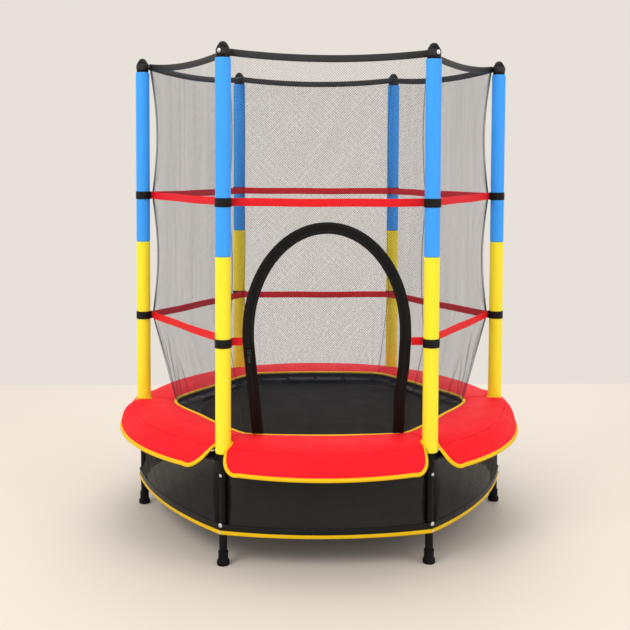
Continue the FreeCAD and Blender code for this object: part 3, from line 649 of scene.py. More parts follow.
SOCKET = in_mm([
    (13.4, 262), (14.6, 262.4), (15, 264), (15, 345.6), (14.4, 347.6), (11.5, 348), (11, 348.4),
])
FOOT = in_mm([
    (17.5, 0), (18.6, 0.6), (19, 2), (19, 13.2), (18.6, 14.6), (17.2, 16), (16.1, 16.8),
    (15.6, 18.4), (15.4, 39.6), (15.9, 40.2), (15.9, 42.2), (15.3, 43), (12.9, 43),
])
# A screw's head over its washer: radius and height as shares of its size
SCREW = [
    (1.5, 0), (1.5, 0.12), (1.05, 0.16), (1.05, 0.3), (0.98, 0.5), (0.8, 0.66), (0.5, 0.76), (0.3, 0.7),
]
# Name and node of each piece, with the height, seat and size of its screws in millimetres
SCREWS = [
    ("cap_screws", "cap_bolts", [(1571, 21.6, 4.3)]),
    ("leg_screws", "leg_bolts", [(281, 14.9, 3.3), (127, 15.8, 4.4), (104.5, 17.6, 2.6)]),
]


def add_legs():
    profile = [(TUBE_R, LEG_FOOT_Z), (TUBE_R, 140 * MM), (TUBE_R, LEG_TOP_Z)]
    for post in POSTS:
        shape = Shape().turning(profile, 40, post_azimuth(post))
        shape.make(f"leg_tube_{post + 1}", "frame_black", nodes=[f"leg_{post + 1}"])


def add_ring():
    """Six rails of the ring, each with its leg socket and a weld seam on either side of it."""
    for post in POSTS:
        turn = post_azimuth(post)
        path = [polar(POST_R, turn - 5 + 1.5 * i, RING_Z) for i in range(41)]
        shape = Shape().sweep(path, [outward(p) for p in path], disc(TUBE_R, 24))
        shape.turning(SOCKET, 40, turn)
        for sign in (-1, 1):
            seam = [Vector((POST_R + x, sign * 14.2 * MM, RING_Z + z)) for x, z in disc(13.2 * MM, 24)]
            outs = [Vector((p.x - POST_R, 0, p.z - RING_Z)).normalized() for p in seam]
            shape.sweep(seam, outs, disc(1.5 * MM, 6), turn, closed=True)
        shape.make(f"ring_rail_{post + 1}", "frame_black", nodes=[f"top_rail_{post + 1}"])


def add_feet():
    """Rubber feet with ribs round the sole."""
    shape = Shape()
    for post in POSTS:
        turn = post_azimuth(post)
        shape.turning(FOOT, 48, turn)
        for i in range(16):
            start = Vector((POST_R, 0, 0)) + polar(18.9 * MM, 22.5 * i, 3 * MM)
            path = [start, start + Vector((0, 0, 9 * MM))]
            shape.sweep(path, [polar(1.0, 22.5 * i)] * 2, rounded(2.6 * MM, 1.4 * MM, 0.6 * MM, 1), turn)
    shape.make("foot_boots", "rubber", nodes=["rubber_feet"])


def add_screw(shape, z, seat, size, turn):
    """A cross-recessed pan head over a washer, facing outward."""
    centre = Vector((POST_R + seat, 0, z))
    out = Vector((1, 0, 0))
    rows = []
    for radius, lift in SCREW:
        rows.append([centre + Vector((lift * size, across, up)) for across, up in disc(radius * size, 24)])
    shape.surface(rows, closed=True, ends=True, turn=turn)
    top = centre + out * (0.74 * size)
    for direction in (Vector((0, 1, 0)), Vector((0, 0, 1))):
        path = [top - direction * (0.42 * size), top + direction * (0.42 * size)]
        shape.sweep(path, [out, out], rounded(0.16 * size, 0.08 * size, 0.03 * size, 1), turn)


def add_bolts():
    for name, node, screws in SCREWS:
        shape = Shape()
        for post in POSTS:
            for z, seat, size in screws:
                add_screw(shape, z * MM, seat * MM, size * MM, post_azimuth(post))
        shape.make(name, "zinc", nodes=[node])


# Enclosure poles

# A sleeve's rounded end: radius and depth in millimetres
FOAM_END = in_mm([(13.2, 1.2), (18, 0.3), (21.4, 0), (23.1, 0.9), (23.9, 3)])
FOAM_STEPS = 60
# Name, node, bottom, top, height of the tie and slot
SLEEVES = [
    ("sleeve_low", "lower_foam", COLLAR_TOP + 0.4 * MM, FOAM_JOINT_Z, LOWER_STRAP_Z, "foam_yellow"),
    ("sleeve_high", "upper_foam", FOAM_JOINT_Z + 0.3 * MM, FOAM_TOP_Z, UPPER_STRAP_Z, "foam_blue"),
]
CAP = in_mm([
    (13.0, 1551.4), (19.8, 1551.4), (20.6, 1552.0), (20.8, 1553.5), (20.8, 1559.0), (20.0, 1559.6),
    (20.0, 1578.0), (19.4, 1581.0), (18.2, 1584.0), (16.4, 1587.2), (14.6, 1590.2), (13.0, 1592.8),
    (11.2, 1595.2), (8.8, 1597.4), (5.8, 1599.2), (2.6, 1600.0),
])


def foam_profile(bottom, top, tie):
    """A sleeve's outline, rounded at its ends and pinched a little under its tie."""
    profile = [(radius, bottom + depth) for radius, depth in FOAM_END]
    for i in range(FOAM_STEPS + 1):
        z = bottom + 6 * MM + (top - bottom - 12 * MM) * i / FOAM_STEPS
        profile.append((FOAM_R - 0.5 * MM * bell(z - tie, 18 * MM), z))
    return profile + [(radius, top - depth) for radius, depth in reversed(FOAM_END)]


def add_foam():
    """Foam sleeves, a little uneven all over."""
    for post in POSTS:
        for name, node, low, high, tie, slot in SLEEVES:
            shape = Shape().turning(foam_profile(low, high, tie), 44, post_azimuth(post))
            for i, p in enumerate(shape.points):
                axis = polar(POST_R, post_azimuth(post), p.z)
                place = Vector((p.x, p.y, p.z * 0.35)) * 14 + Vector((post * 3.1, 0, 0))
                uneven = 0.35 * MM * noise.noise(place)
                shape.points[i] = axis + (p - axis) * (1 + uneven / FOAM_R)
            piece = shape.make(f"{name}_{post + 1}", slot, nodes=[f"{node}_{post + 1}"])


def add_caps():
    """Domed caps with the lug behind the band's end, and the loop of webbing round each."""
    caps, loops = Shape(), Shape()
    for post in POSTS:
        turn = post_azimuth(post)
        caps.turning(CAP, 48, turn)
        start = Vector((BAND_CORNER_R + 0.3 * MM, 0, BAND_END_Z))
        lug = [start, start + Vector((8 * MM, 0, 0))]
        caps.sweep(lug, [Vector((0, 0, 1))] * 2, rounded(16 * MM, 20 * MM, 3 * MM), turn)
        path, outs = round_post(CAP_LOOP_Z, 20.9 * MM, range(0, 360, 9))
        loops.sweep(path, outs, rounded(19 * MM, 1.8 * MM, 0.8 * MM), turn, closed=True)
    caps.make("post_caps", "cap_plastic", nodes=["pole_caps"])
    loops.make("band_loops", "band_black")


def add_ties():
    """Hook-and-loop ties: a band round the sleeve, its lapped end, and the tab at the strap's corner."""
    shape = Shape()
    for z in (UPPER_STRAP_Z, LOWER_STRAP_Z):
        for post in POSTS:
            turn = post_azimuth(post)
            path, outs = round_post(z, 25 * MM, range(0, 360, 8))
            shape.sweep(path, outs, rounded(27 * MM, 1.7 * MM, 0.8 * MM), turn, closed=True)
            first = 25 + 10 * (post % 3)
            lap, outs = round_post(z, 26.2 * MM, range(first, first + 120, 8))
            lap[-1] = lap[-1] - outs[-1] * (0.3 * MM)
            shape.sweep(lap, outs, rounded(25 * MM, 1.4 * MM, 0.6 * MM), turn)
            tab = [Vector((x * MM, 0, z)) for x in (606.9, 609, 611.4)]
            shape.sweep(tab, [Vector((0, 1, 0))] * 3, rounded(26.5 * MM, 9 * MM, 1.6 * MM), turn)
    shape.make("sleeve_ties", "tie_black", nodes=["pole_ties"])


# Cage net, band and straps

# Pleats that fan up from each lower corner: distance from the corner at the foot and at the strap in
# millimetres, share of the tier's height that a pleat reaches, and how dark it is
PLEATS = [
    (3, 16, 1.0, 0.45), (20, 58, 0.86, 0.6), (34, 96, 0.6, 0.5), (92, 62, 0.56, 0.55),
    (128, 116, 0.32, 0.5), (166, 172, 0.24, 0.4), (208, 202, 0.2, 0.35), (252, 256, 0.16, 0.3),
]
# Heights at which the upper tiers are tied, and the way in which pleats run from there
TIED_LEVELS = [(LOWER_STRAP_Z, 1), (UPPER_STRAP_Z, -1), (UPPER_STRAP_Z, 1), (BAND_END_Z, -1)]
PLEAT_REACH = 170


def tier_share(z):
    """How far up the net's lowest tier a height lies: 0 at its foot and 1 at the strap."""
    return (z - NET_FOOT_Z) / (LOWER_STRAP_Z - NET_FOOT_Z)


def off_corner(angle, radius):
    """Distance from a side's nearer corner, angle in degrees from the side's middle."""
    return (30 - abs(angle)) * math.radians(1) * radius


def beside_side_post(angle, side):
    """Whether an angle from the middle of a side lies towards the post on +X or -X."""
    return round(side_azimuth(side) + math.copysign(30, angle)) % 180 == 0


def corner_shift(beside, at_side):
    """How far a corner of the pad's inner edge is moved in: rounded off, but out at the two side posts."""
    if not at_side:
        return 6.5 * MM * max(0.0, 1 - beside / (38 * MM)) ** 2
    share = min(beside / (235 * MM), 1.0)
    return -9 * MM * (1 - smooth(beside / (120 * MM))) - 112 * MM * share * (1 - share) ** 2


def foot_rounding(beside, height, at_side):
    """How far the net's corner is moved in where it goes down inside the pad."""
    return corner_shift(beside, at_side) * max(1 - height, 0.0)


def net_corner_r(z):
    """Corner radius of the net at a height: tied at the straps and drawn in between."""
    if z < LOWER_STRAP_Z:
        return NET_FOOT_R + (NET_TIED_R - NET_FOOT_R) * tier_share(z)
    if z < UPPER_STRAP_Z:
        share = (z - LOWER_STRAP_Z) / (UPPER_STRAP_Z - LOWER_STRAP_Z)
        return NET_TIED_R - 18 * MM * math.sin(math.pi * share)
    share = (z - UPPER_STRAP_Z) / (BAND_END_Z - UPPER_STRAP_Z)
    return NET_TIED_R + (NET_TOP_R - NET_TIED_R) * share - 20 * MM * math.sin(math.pi * share)


def net_point(angle, z, side):
    """A point of one side's net, angle in degrees from its middle."""
    corner = net_corner_r(z) - 0.5 * MM
    middle = corner if z < LOWER_STRAP_Z else NET_TIED_R - 0.6 * MM
    apothem = (middle + (corner - middle) * (angle / 30) ** 2) * math.cos(HALF)
    edge = 1 - min(abs(30 - abs(angle)) / 14, 1.0)
    low = smooth((LOWER_STRAP_Z - 20 * MM - z) / (LOWER_STRAP_Z - NET_FOOT_Z))
    folds = math.sin(math.radians(abs(angle) * 62 + 40 * (angle > 0))) * 4.2 * MM * edge * low
    between = math.sin(math.pi * (z - LOWER_STRAP_Z) / (UPPER_STRAP_Z - LOWER_STRAP_Z)) ** 2
    soft = math.sin(math.radians(abs(angle) * 40)) * 1.6 * MM * edge * between * (z > LOWER_STRAP_Z)
    hold = min(abs(z - LOWER_STRAP_Z), abs(z - UPPER_STRAP_Z), 60 * MM) / (60 * MM)
    uneven = 0.5 + 0.5 * noise.noise(Vector((angle * 0.11, z * 5, side)))
    inward = abs(folds) + abs(soft) + hold * 1.5 * MM * uneven
    rounding = foot_rounding(off_corner(angle, corner), tier_share(z), beside_side_post(angle, side))
    return polar((apothem - inward) / math.cos(math.radians(angle)) - rounding, FRONT + angle, z)


def gathering(angle, z, side):
    """How closely the net is folded at a point: dark pleats that fan out from every tied corner."""
    beside = off_corner(angle, net_corner_r(z)) / MM
    height = tier_share(z)
    at_side = beside_side_post(angle, side)
    strength = 1.0 if at_side else 0.22
    cloud = noise.noise(Vector((angle * 0.12, z * 2.6, side + 0.5)))
    streak = noise.noise(Vector((angle * 0.9 + z * 3, z * 1.4, side + 7.5)))
    total = 0.95 * bell(beside, 4.5) if at_side else 0.3 * bell(beside, 1.6)
    total += (0.075 + 0.05 * cloud + 0.05 * streak) if side % 3 else 0.012 * streak
    if height < 1:
        for foot, tied, top, dark in PLEATS:
            line = foot + (tied - foot) * height + 3 * noise.noise(Vector((z * 9, foot, side)))
            total += strength * dark * bell(beside - line, 2.6) * smooth((top - height) / 0.3)
        total += 0.3 * bell(height, 0.03)
    else:
        for level, way in TIED_LEVELS:
            off = (z - level) * way / MM
            if 0 < off < PLEAT_REACH:
                for lean in (0.1, 0.24):
                    pleat = bell(beside - 2 - lean * off, 2.2)
                    total += 0.35 * strength * pleat * smooth(1 - off / PLEAT_REACH)
    return max(0.0, min(total, 0.95))


def band_middle_z(share):
    """Height of the sagging band, from -1 to 1 along a side."""
    return BAND_END_Z - BAND_SAG * (1 - share**2)


def draw_on(made, name, values):
    """Gives a mesh one value at each point, for its material to read."""
    made.data.attributes.new(name, "FLOAT", "POINT").data.foreach_set("value", values)


def add_net():
    shares, levels = crowded(130, 0.72), 130
    for side in SIDES:
        rows, gathers = [], []
        for j in range(levels + 1):
            row = []
            for share in shares:
                top = band_middle_z(share) - 6 * MM
                z = NET_FOOT_Z + (top - NET_FOOT_Z) * j / levels
                row.append(net_point(30 * share, z, side))
                gathers.append(gathering(30 * share, z, side))
            rows.append(row)
        shape = Shape().surface(rows, turn=60 * side)
        net = shape.make(f"net_side_{side + 1}", "net_mesh", nodes=[f"net_panel_{side + 1}"])
        draw_on(net, "gathered", gathers)


def add_net_seams():
    """The dark seam tape down each corner of the net, from the band to the mat."""
    shape = Shape()
    for post in POSTS:
        at_side = round(post_azimuth(post)) % 180 == 0
        path = []
        for j in range(81):
            z = NET_FOOT_Z + (BAND_END_Z - 12 * MM - NET_FOOT_Z) * j / 80
            rounding = foot_rounding(0.0, tier_share(z), at_side)
            path.append(Vector((net_corner_r(z) - 0.2 * MM - rounding, 0, z)))
        section = rounded(3.0 * MM if at_side else 1.1 * MM, 1.6 * MM, 0.4 * MM, 1)
        shape.sweep(path, [Vector((1, 0, 0))] * len(path), section, post_azimuth(post))
    shape.make("net_seams", "band_black")


def add_band():
    """The top band: webbing folded over a cord, so it is fullest along its upper edge."""
    section = [(BAND_HEIGHT / 2 * x, 2.1 * MM * y * (1 + 0.25 * x)) for x, y in disc(1.0, 16)]
    radius = BAND_CORNER_R - 2 * MM
    for side in SIDES:
        path = []
        for i in range(41):
            share = 2 * i / 40 - 1
            y = 0.35 * MM * math.sin(9 * share + side) - radius * math.cos(HALF)
            path.append(Vector((share * radius * math.sin(HALF), y, band_middle_z(share))))
        shape = Shape().sweep(path, [Vector((0, -1, 0))] * len(path), section, 60 * side)
        shape.make(f"band_side_{side + 1}", "band_black", nodes=["top_band"])


def strap_runs(z, side, half):
    """Where the pieces of a strap start and stop on one side: the door parts the lower one."""
    if side == 0 and z == LOWER_STRAP_Z:
        edge = DOOR_HALF + 0.3 * MM
        return [(-half, -edge), (edge, half)]
    return [(-half, half)]


def add_straps():
    """Straps that sag and waver a little."""
    section = rounded(STRAP_HEIGHT, 2.0 * MM, 0.9 * MM)
    radius = NET_TIED_R + 1.5 * MM
    y = -radius * math.cos(HALF)
    shape = Shape()
    for z in (UPPER_STRAP_Z, LOWER_STRAP_Z):
        for side in SIDES:
            for start, stop in strap_runs(z, side, radius * math.sin(HALF)):
                path, outs = [], []
                count = 24 if stop - start > 0.3 else 6
                for i in range(count + 1):
                    x = start + (stop - start) * i / count
                    sag = 1.6 * MM * math.sin(math.pi * i / count) * (count > 10)
                    wave = 0.6 * MM * math.sin(23 * x + 2 * side)
                    path.append(Vector((x, y + 0.3 * wave, z - sag + wave)))
                    outs.append(Vector((0, -1, 0.05 * math.sin(17 * x + side))))
                shape.sweep(path, outs, section, 60 * side)
    shape.make("cage_straps", "strap_red", nodes=["net_straps"])


# Door

def door_line():
    """Middle of the door's binding, from its left foot over the arch to its right foot."""
    half = DOOR_HALF - BINDING_WIDTH / 2
    rise = DOOR_RISE - BINDING_WIDTH / 2
    y = -NET_TIED_R * math.cos(HALF) - 0.3 * MM
    run_in = (NET_TIED_R - NET_FOOT_R) * math.cos(HALF)
    left, arch, right = [], [], []
    for i in range(25):
        z = NET_FOOT_Z + (DOOR_SPRING_Z - NET_FOOT_Z) * i / 25
        drop = max(1 - tier_share(z), 0.0)
        x = half - FOOT_LEAN * drop
        waver = 2.5 * MM * math.sin(9 * drop) * smooth(drop * 3)
        left.append(Vector((-x, y + run_in * drop, z)))
        right.append(Vector((x + RIGHT_FOOT_OUT * drop + waver, y + run_in * drop, z)))
    for i in range(49):
        turn = math.pi * (1 - i / 48)
        arch.append(Vector((half * math.cos(turn), y, DOOR_SPRING_Z + rise * math.sin(turn))))
    return left + arch + right[::-1]


def door_outs(path):
    """Directions out of the net along the door."""
    outs = []
    for i in range(len(path)):
        along = heading(path, i)
        out = Vector((1, 0, 0)).cross(along) if abs(along.z) > abs(along.x) else Vector((0, -1, 0))
        outs.append((-out if out.y > 0 else out).normalized())
    return outs


def door_section():
    """Binding folded round a filler on either side of a flat middle that carries the zip."""
    half = BINDING_WIDTH / 2
    points = [(half, 1.2 * MM)]
    for share in (0.96, 0.86, 0.74, 0.62, 0.5, 0.36, 0.2, 0.0):
        bulge = 2.5 * MM * math.sin(math.pi * max((share - 0.2) / 0.8, 0)) ** 0.7
        points.append((share * half, 1.9 * MM + bulge))
    outer = points + [(-x, y) for x, y in reversed(points[:-1])]
    return outer + [(-half, 0.1 * MM), (half, 0.1 * MM)]


def add_door():
    """The binding, and the zip along its middle: a tape, and teeth that reach to either side in turn."""
    path = door_line()
    outs = door_outs(path)
    Shape().sweep(path, outs, door_section()).make("door_tape", "binding_black", nodes=["door_binding"])
    teeth = Shape()
    done = 0
    for a, b, out in zip(path, path[1:], outs):
        step = b - a
        across = step.normalized().cross(out).normalized()
        count = max(int(step.length / (3.2 * MM)), 1)
        for k in range(count):
            place = a + step * (k / count) + out * (3.1 * MM)
            side = 0.7 if (done + k) % 2 else -0.7
            tooth = [place + across * (side + reach) * MM for reach in (-1.9, 1.9)]
            teeth.sweep(tooth, [out, out], rounded(1.5 * MM, 1.3 * MM, 0.4 * MM, 1))
        done += count
    middle = [p + o * 2.4 * MM for p, o in zip(path, outs)]
    tape = Shape().sweep(middle, outs, rounded(9 * MM, 0.9 * MM, 0.3 * MM, 1))
    tape.make("zip_tape", "zip_black", nodes=["zip_teeth"])
    teeth.make("zip_coil", "zip_black")


# Mat, rings and springs

MAT_RINGS = [0.02, 0.12, 0.22, 0.32, 0.42, 0.52, 0.62, 0.72, 0.82, 0.9, 0.95, 0.985, 1.0]
# The mat's webbing: distance in from the edge and height over the mat, in millimetres
MAT_WEBBING = in_mm([(29, 0.2), (28.6, 1.0), (27.5, 1.5), (14, 1.7), (1.2, 1.5), (-0.4, 0.6), (-0.6, -1.0)])
# Corners of a triangle ring and points of a spring's two hooks, on +X, in millimetres
RING_CORNERS = in_mm([(452, -15), (452, 15), (484.5, 3.8), (484.5, -3.8)])
INNER_HOOK = in_mm([(481.0, 335), (481.6, 331), (484.5, 328), (494, 328)])
OUTER_HOOK = in_mm([(607, 328), (616, 330), (621.6, 333)])


def spring_azimuths():
    return [FRONT + 36 + 12 * i for i in range(30)]


def mat_edge(radius):
    """The mat's edge: pulled out at every spring and drawn in a little between."""
    points = []
    for i in range(240):
        azimuth = 360 * i / 240
        phase = math.cos(math.radians((azimuth - 6) * 30))
        points.append(polar(radius - MAT_SCALLOP * (0.5 - 0.5 * phase), azimuth))
    return points


def on_mat(p, lift=0.0):
    """A point of the plan at the height of the mat, which sags a little under its own weight."""
    sag = MAT_SAG * (1 - min(p.length / MAT_R, 1.0) ** 2)
    return Vector((p.x, p.y, MAT_TOP_Z + lift - sag))


def add_mat():
    rows = [[on_mat(p * share) for p in mat_edge(MAT_R)] for share in MAT_RINGS]
    under = [[p - Vector((0, 0, 1.6 * MM)) for p in row] for row in reversed(rows)]
    shape = Shape().surface(rows + under, closed=True, ends=True)
    mat = shape.make("bounce_mat", "mat_black", "mat", ["jump_mat"])
    layer = mat.data.uv_layers[0]
    for loop in mat.data.loops:
        layer.data[loop.index].uv = mat.data.vertices[loop.vertex_index].co.xy
    rows = [[on_mat(p, lift) for p in mat_edge(MAT_R - inset)] for inset, lift in MAT_WEBBING]
    flipped = [list(row) for row in zip(*rows)]
    Shape().surface(flipped + [flipped[0]]).make("mat_border", "webbing_black", "mat", ["mat_webbing"])


def ring_line():
    """A triangle ring's closed line, rounded at its corners."""
    corners = [Vector((x, y, MAT_TOP_Z - 3.9 * MM)) for x, y in RING_CORNERS]
    path = []
    for k, here in enumerate(corners):
        others = corners[k - 1], corners[(k + 1) % 4]
        before, after = [here + (other - here).normalized() * 2.6 * MM for other in others]
        path += [before, here + (before + after - here * 2) * 0.24, after]
    return path


def add_rings():
    """Wire triangles that hold the springs to the mat."""
    shape = Shape()
    path = ring_line()
    for azimuth in spring_azimuths():
        shape.sweep(path, [Vector((0, 0, 1))] * len(path), disc(2.0 * MM, 8), azimuth, closed=True)
    shape.make("mat_rings", "zinc", "mat", ["triangle_rings"])


def spring_line():
    """A spring's wire on +X, with the directions out of its curls."""
    path = spline([Vector((x, 0, z)) for x, z in INNER_HOOK], 4)[:-1]
    count = COIL_TURNS * COIL_STEPS
    for i in range(count + 1):
        angle = 2 * math.pi * i / COIL_STEPS
        grow = smooth(min(i, count - i) / (1.5 * COIL_STEPS))
        radius = COIL_R * max(grow, 0.05)
        along = COIL_START_R + (COIL_END_R - COIL_START_R) * i / count
        path.append(Vector((along, radius * math.sin(angle), SPRING_Z + radius * math.cos(angle))))
    path += spline([Vector((x, 0, z)) for x, z in OUTER_HOOK], 4)
    outs = []
    for p in path:
        out = Vector((0, p.y, p.z - SPRING_Z))
        outs.append(out.normalized() if out.length > 1 * MM else Vector((0, 0.05, 1)))
    return path, outs


def add_springs():
    """Close-wound coils with a hook at either end. Each bends between the ring and the mat."""
    path, outs = spring_line()
    for number, azimuth in enumerate(spring_azimuths()):
        shape = Shape().sweep(path, outs, disc(1.05 * MM, 5), azimuth)
        spring = shape.make(f"coil_spring_{number + 1}", "zinc", None, ["springs"])
        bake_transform(spring)


def add_net_hem_shade():
    """The net's lowest part, from its foot in under the pad and down onto the mat's webbing, as opaque
    black cloth: painted shade where the inside under the pad lies dark.
    """
    rows, columns = [], 40
    for side in SIDES:
        for i in range(columns):
            angle = -30 + 60 * i / columns
            foot = (NET_FOOT_R - 0.8 * MM) * math.cos(HALF) / math.cos(math.radians(angle))
            foot -= foot_rounding(off_corner(angle, NET_FOOT_R), 0, beside_side_post(angle, side))
            lap = min(MAT_R - 8 * MM, foot - 1 * MM)
            row = []
            for share in (0.0, 0.3, 0.6, 0.85, 1.0):
                gather = 0.6 * MM * math.sin(math.radians(angle * 48)) * math.sin(math.pi * share)
                radius = foot + (lap - foot) * share - abs(gather)
                row.append(polar(radius, side_azimuth(side) + angle, 348.6 * MM - 11.2 * MM * share))
            rows.append(row)
    shape = Shape().surface(rows + [rows[0]])
    # Solid black instead of see-through mesh: painted shade under the pad.
    hem = shape.make("net_hem_shade_cloth", "binding_black", None, ["net_hem"])
    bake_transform(hem)


# Safety pad. Where nothing else is said, its tables hold a radius and a value in millimetres

# Half the gap between two pads round a pole
NOTCH = in_mm([
    (607, 0), (607.5, 5.5), (609, 10.5), (612, 16.5), (617, 22.2), (624, 26.2), (632, 28), (642, 28.8),
    (654, 30.2), (664, 32.6), (674, 36.8), (682, 41.8), (689, 50), (694, 59), (698, 71.5), (700, 87),
])
# The same at the two side posts, where the flaps close in again outside the pole
SIDE_NOTCH = in_mm([
    (607, 0), (607.5, 5.5), (609, 10.5), (612, 15.5), (617, 20.5), (624, 24), (632, 25.5), (640, 25.2),
    (646, 23.5), (652, 20), (658, 16), (665, 12), (673, 9.5), (682, 9), (689, 11.5), (694, 17.5),
    (698, 29), (700, 46),
])
# How much further the flap bulges there
PUFF = in_mm([(607, 0), (620, 6), (640, 11), (660, 11), (680, 13), (690, 12), (697, 6), (700, 1)])
# How far out the pad's lines are drawn there
FLARE = in_mm([(607, 0), (630, 10), (650, 16), (661, 15), (674, 12), (688, 7), (700, 0)])
# Height of the flap
FLAP = in_mm([
    (650, 370), (655, 366.6), (662, 360.4), (671, 350.6), (680, 339.4), (688, 328.4), (695, 318.2),
    (700, 310.6),
])
# Height in millimetres from the inner edge at 0 to the crease at 1
TOP = [
    (0.0, 372.5), (0.02, 375.6), (0.06, 378.4), (0.12, 381.2), (0.2, 383.6), (0.32, 385.8), (0.5, 386.4),
    (0.7, 385), (0.85, 380.4), (0.95, 374.2), (1.0, 370.0),
]
# Rows of the pad: shares of the way from its inner edge to the ring, then radii in millimetres
PAD_INSIDE = [0.0, 0.0, 0.02, 0.05, 0.09, 0.14, 0.2, 0.28, 0.36, 0.45, 0.54, 0.62, 0.7, 0.78, 0.86, 0.93]
PAD_RADII = [600, 607.5, 609, 612, 617, 624, 632, 640, 645, 647.6, 648.8, 650, 651.2, 652.6, 656, 661]
PAD_RADII += [667, 674, 681, 688, 693, 697, 699.2, 700]
# The side whose flap hangs a little higher and further out than the others, and by how much
LIFTED_SIDE = 5
LIFTED_UP = 9 * MM
LIFTED_OUT = 9 * MM


def bowed(angle, corner, bow):
    """Radius of an arc from corner to corner of a side, bowed out in the middle. angle is in degrees."""
    half = corner * math.sin(HALF)
    arc = (half**2 + bow**2) / (2 * bow)
    centre = corner * math.cos(HALF) + bow - arc
    off = math.radians(angle)
    return centre * math.cos(off) + math.sqrt(arc**2 - (centre * math.sin(off)) ** 2)


def pad_inner_r(angle, side):
    """Radius of the pad's bowed inner edge, angle in degrees from the middle of a side."""
    radius = bowed(angle, PAD_INNER_R, PAD_BOW)
    return radius - corner_shift(off_corner(angle, radius), beside_side_post(angle, side))


def pad_edge_angle(radius, end, side):
    """Where a pad ends, in degrees from its side's middle. The flaps are drawn round a little clockwise."""
    gap = 0.3 * MM
    at_side = beside_side_post(end, side)
    if radius > NOTCH[0][0]:
        gap += curve_through(SIDE_NOTCH if at_side else NOTCH, radius)
        if not at_side:
            gap += math.copysign(5.5 * MM, end) * smooth((radius - POST_R) / (24 * MM))
    return 30 - math.degrees(math.asin(gap / radius))


def end_distance(share, radius, side):
    """Distance along the pad from its nearer end, share running from -1 to 1."""
    return (1 - abs(share)) * radius * math.radians(pad_edge_angle(radius, share, side))


def pad_surface(radius, inner):
    """Height of the pad's upper surface before it is rolled, sewn and wrinkled."""
    if radius < PAD_CREASE_R:
        return curve_through(TOP, (radius - inner) / (PAD_CREASE_R - inner)) * MM
    return curve_through(FLAP, radius)


def pad_top(share, radius, inner, side):
    """Height of the pad's upper surface, with its rolled ends, sewn crease and wrinkles."""
    angle = share * pad_edge_angle(radius, share, side)
    edge = end_distance(share, radius, side)
    place = polar(radius, angle)
    along = radius * math.radians(angle)
    roll = min(edge / (8 * MM), 1.0)
    z = pad_surface(radius, inner) - 5 * MM * (1 - math.sqrt(1 - (1 - roll) ** 2))
    z -= 1.5 * MM * bell(radius - PAD_CREASE_R, 2 * MM) * smooth(edge / (14 * MM))
    swell = 1.4 * MM * noise.noise(Vector((place.x * 6, place.y * 6, side * 3.7)))
    draw = -1.1 * MM * abs(noise.noise(Vector((along * 24, radius * 7, side * 1.9 + 5))))
    slack = 0.8 * MM * noise.noise(Vector((along * 8, radius * 90, side * 2.7 + 11)))
    slack *= radius > PAD_CREASE_R
    ripple = 0.7 * MM * math.sin(2 * math.pi * edge / (17 * MM)) * smooth((85 * MM - edge) / (30 * MM))
    ripple *= smooth((inner + 95 * MM - radius) / (40 * MM))
    fade = smooth(edge / (16 * MM)) * smooth((radius - inner) / (16 * MM))
    fade *= smooth((PAD_HEM_R - radius) / (9 * MM))
    return z + (swell + draw + slack + ripple) * fade


def painted_crease_shade(share, radius, side):
    """How much painted shade a point carries: along the flap's fold crease, and where two pads meet."""
    edge = end_distance(share, radius, side)
    fold = 0.8 * bell(radius - PAD_CREASE_R, 1.3 * MM) * smooth(edge / (12 * MM))
    meeting = 0.9 * bell(edge, 1.8 * MM) * (radius < NOTCH[0][0])
    return min(fold + meeting, 1.0)


def pad_under(share, radius, inner, side):
    """Height of the underside, which rests on the ring and thins out towards every sewn edge."""
    top = pad_surface(radius, inner)
    ring_inside = POST_R - TUBE_R
    if radius < ring_inside:
        z = 353 * MM - 7 * MM * (radius - inner) / (ring_inside - inner)
    elif radius < PAD_CREASE_R:
        z = 346 * MM
    else:
        z = top - 8.5 * MM - 12 * MM * smooth((670 * MM - radius) / (20 * MM))
    z += (353.5 * MM - z) * (1 - smooth((radius - inner) / (28 * MM)))
    if radius > 606 * MM:
        thin = max(top - 13.5 * MM - z, 0.0)
        z += thin * (1 - smooth(end_distance(share, radius, side) / (24 * MM)))
    return z


def flap_share(radius):
    return smooth((radius - PAD_CREASE_R) / (PAD_HEM_R - PAD_CREASE_R))


def end_weight(share, radius, side):
    """How near a point is to a pad's end at a side post, from 0 to 1."""
    if not beside_side_post(share, side):
        return 0.0
    return smooth((150 * MM - end_distance(share, radius, side)) / (130 * MM))


def flared(share, radius, side):
    """The radius at which a point of the pad is drawn near its ends at the side posts."""
    return radius + curve_through(FLARE, radius) * end_weight(share, radius, side)


def flap_lift(share, radius, side):
    """How far the flap stands above its usual line: one side's all along, and every end at a side post."""
    lift = LIFTED_UP * flap_share(radius) * (side == LIFTED_SIDE)
    return lift + curve_through(PUFF, radius) * end_weight(share, radius, side)


def pad_rows(side):
    """Rows of points over and under one pad, from its inner edge to the hem, and how much painted crease
    shade the upper ones carry.
    """
    top, under, crease_shade_values = [], [], []
    for row in range(len(PAD_INSIDE) + len(PAD_RADII)):
        over, low = [], []
        for share in crowded(84, 0.75):
            rim = pad_inner_r(share * 30, side)
            if row < len(PAD_INSIDE):
                radius = rim + (PAD_RING_R - rim) * PAD_INSIDE[row]
            else:
                radius = PAD_RADII[row - len(PAD_INSIDE)] * MM
            drawn = flared(share, radius, side)
            angle = FRONT + share * pad_edge_angle(drawn, share, side)
            drawn += LIFTED_OUT * flap_share(radius) * (side == LIFTED_SIDE)
            z = PAD_INNER_FOOT_Z if row == 0 else pad_top(share, radius, rim, side)
            crease_shade_values.append(painted_crease_shade(share, radius, side))
            lift = flap_lift(share, radius, side)
            over.append(polar(drawn + (1.5 * MM if row == 0 else 0), angle, z + lift))
            z = min(pad_under(share, radius, rim, side), z - 0.8 * MM)
            low.append(polar(max(drawn, rim + 2 * MM), angle, z + lift))
        top.append(over)
        under.append(low)
    return top, under, crease_shade_values


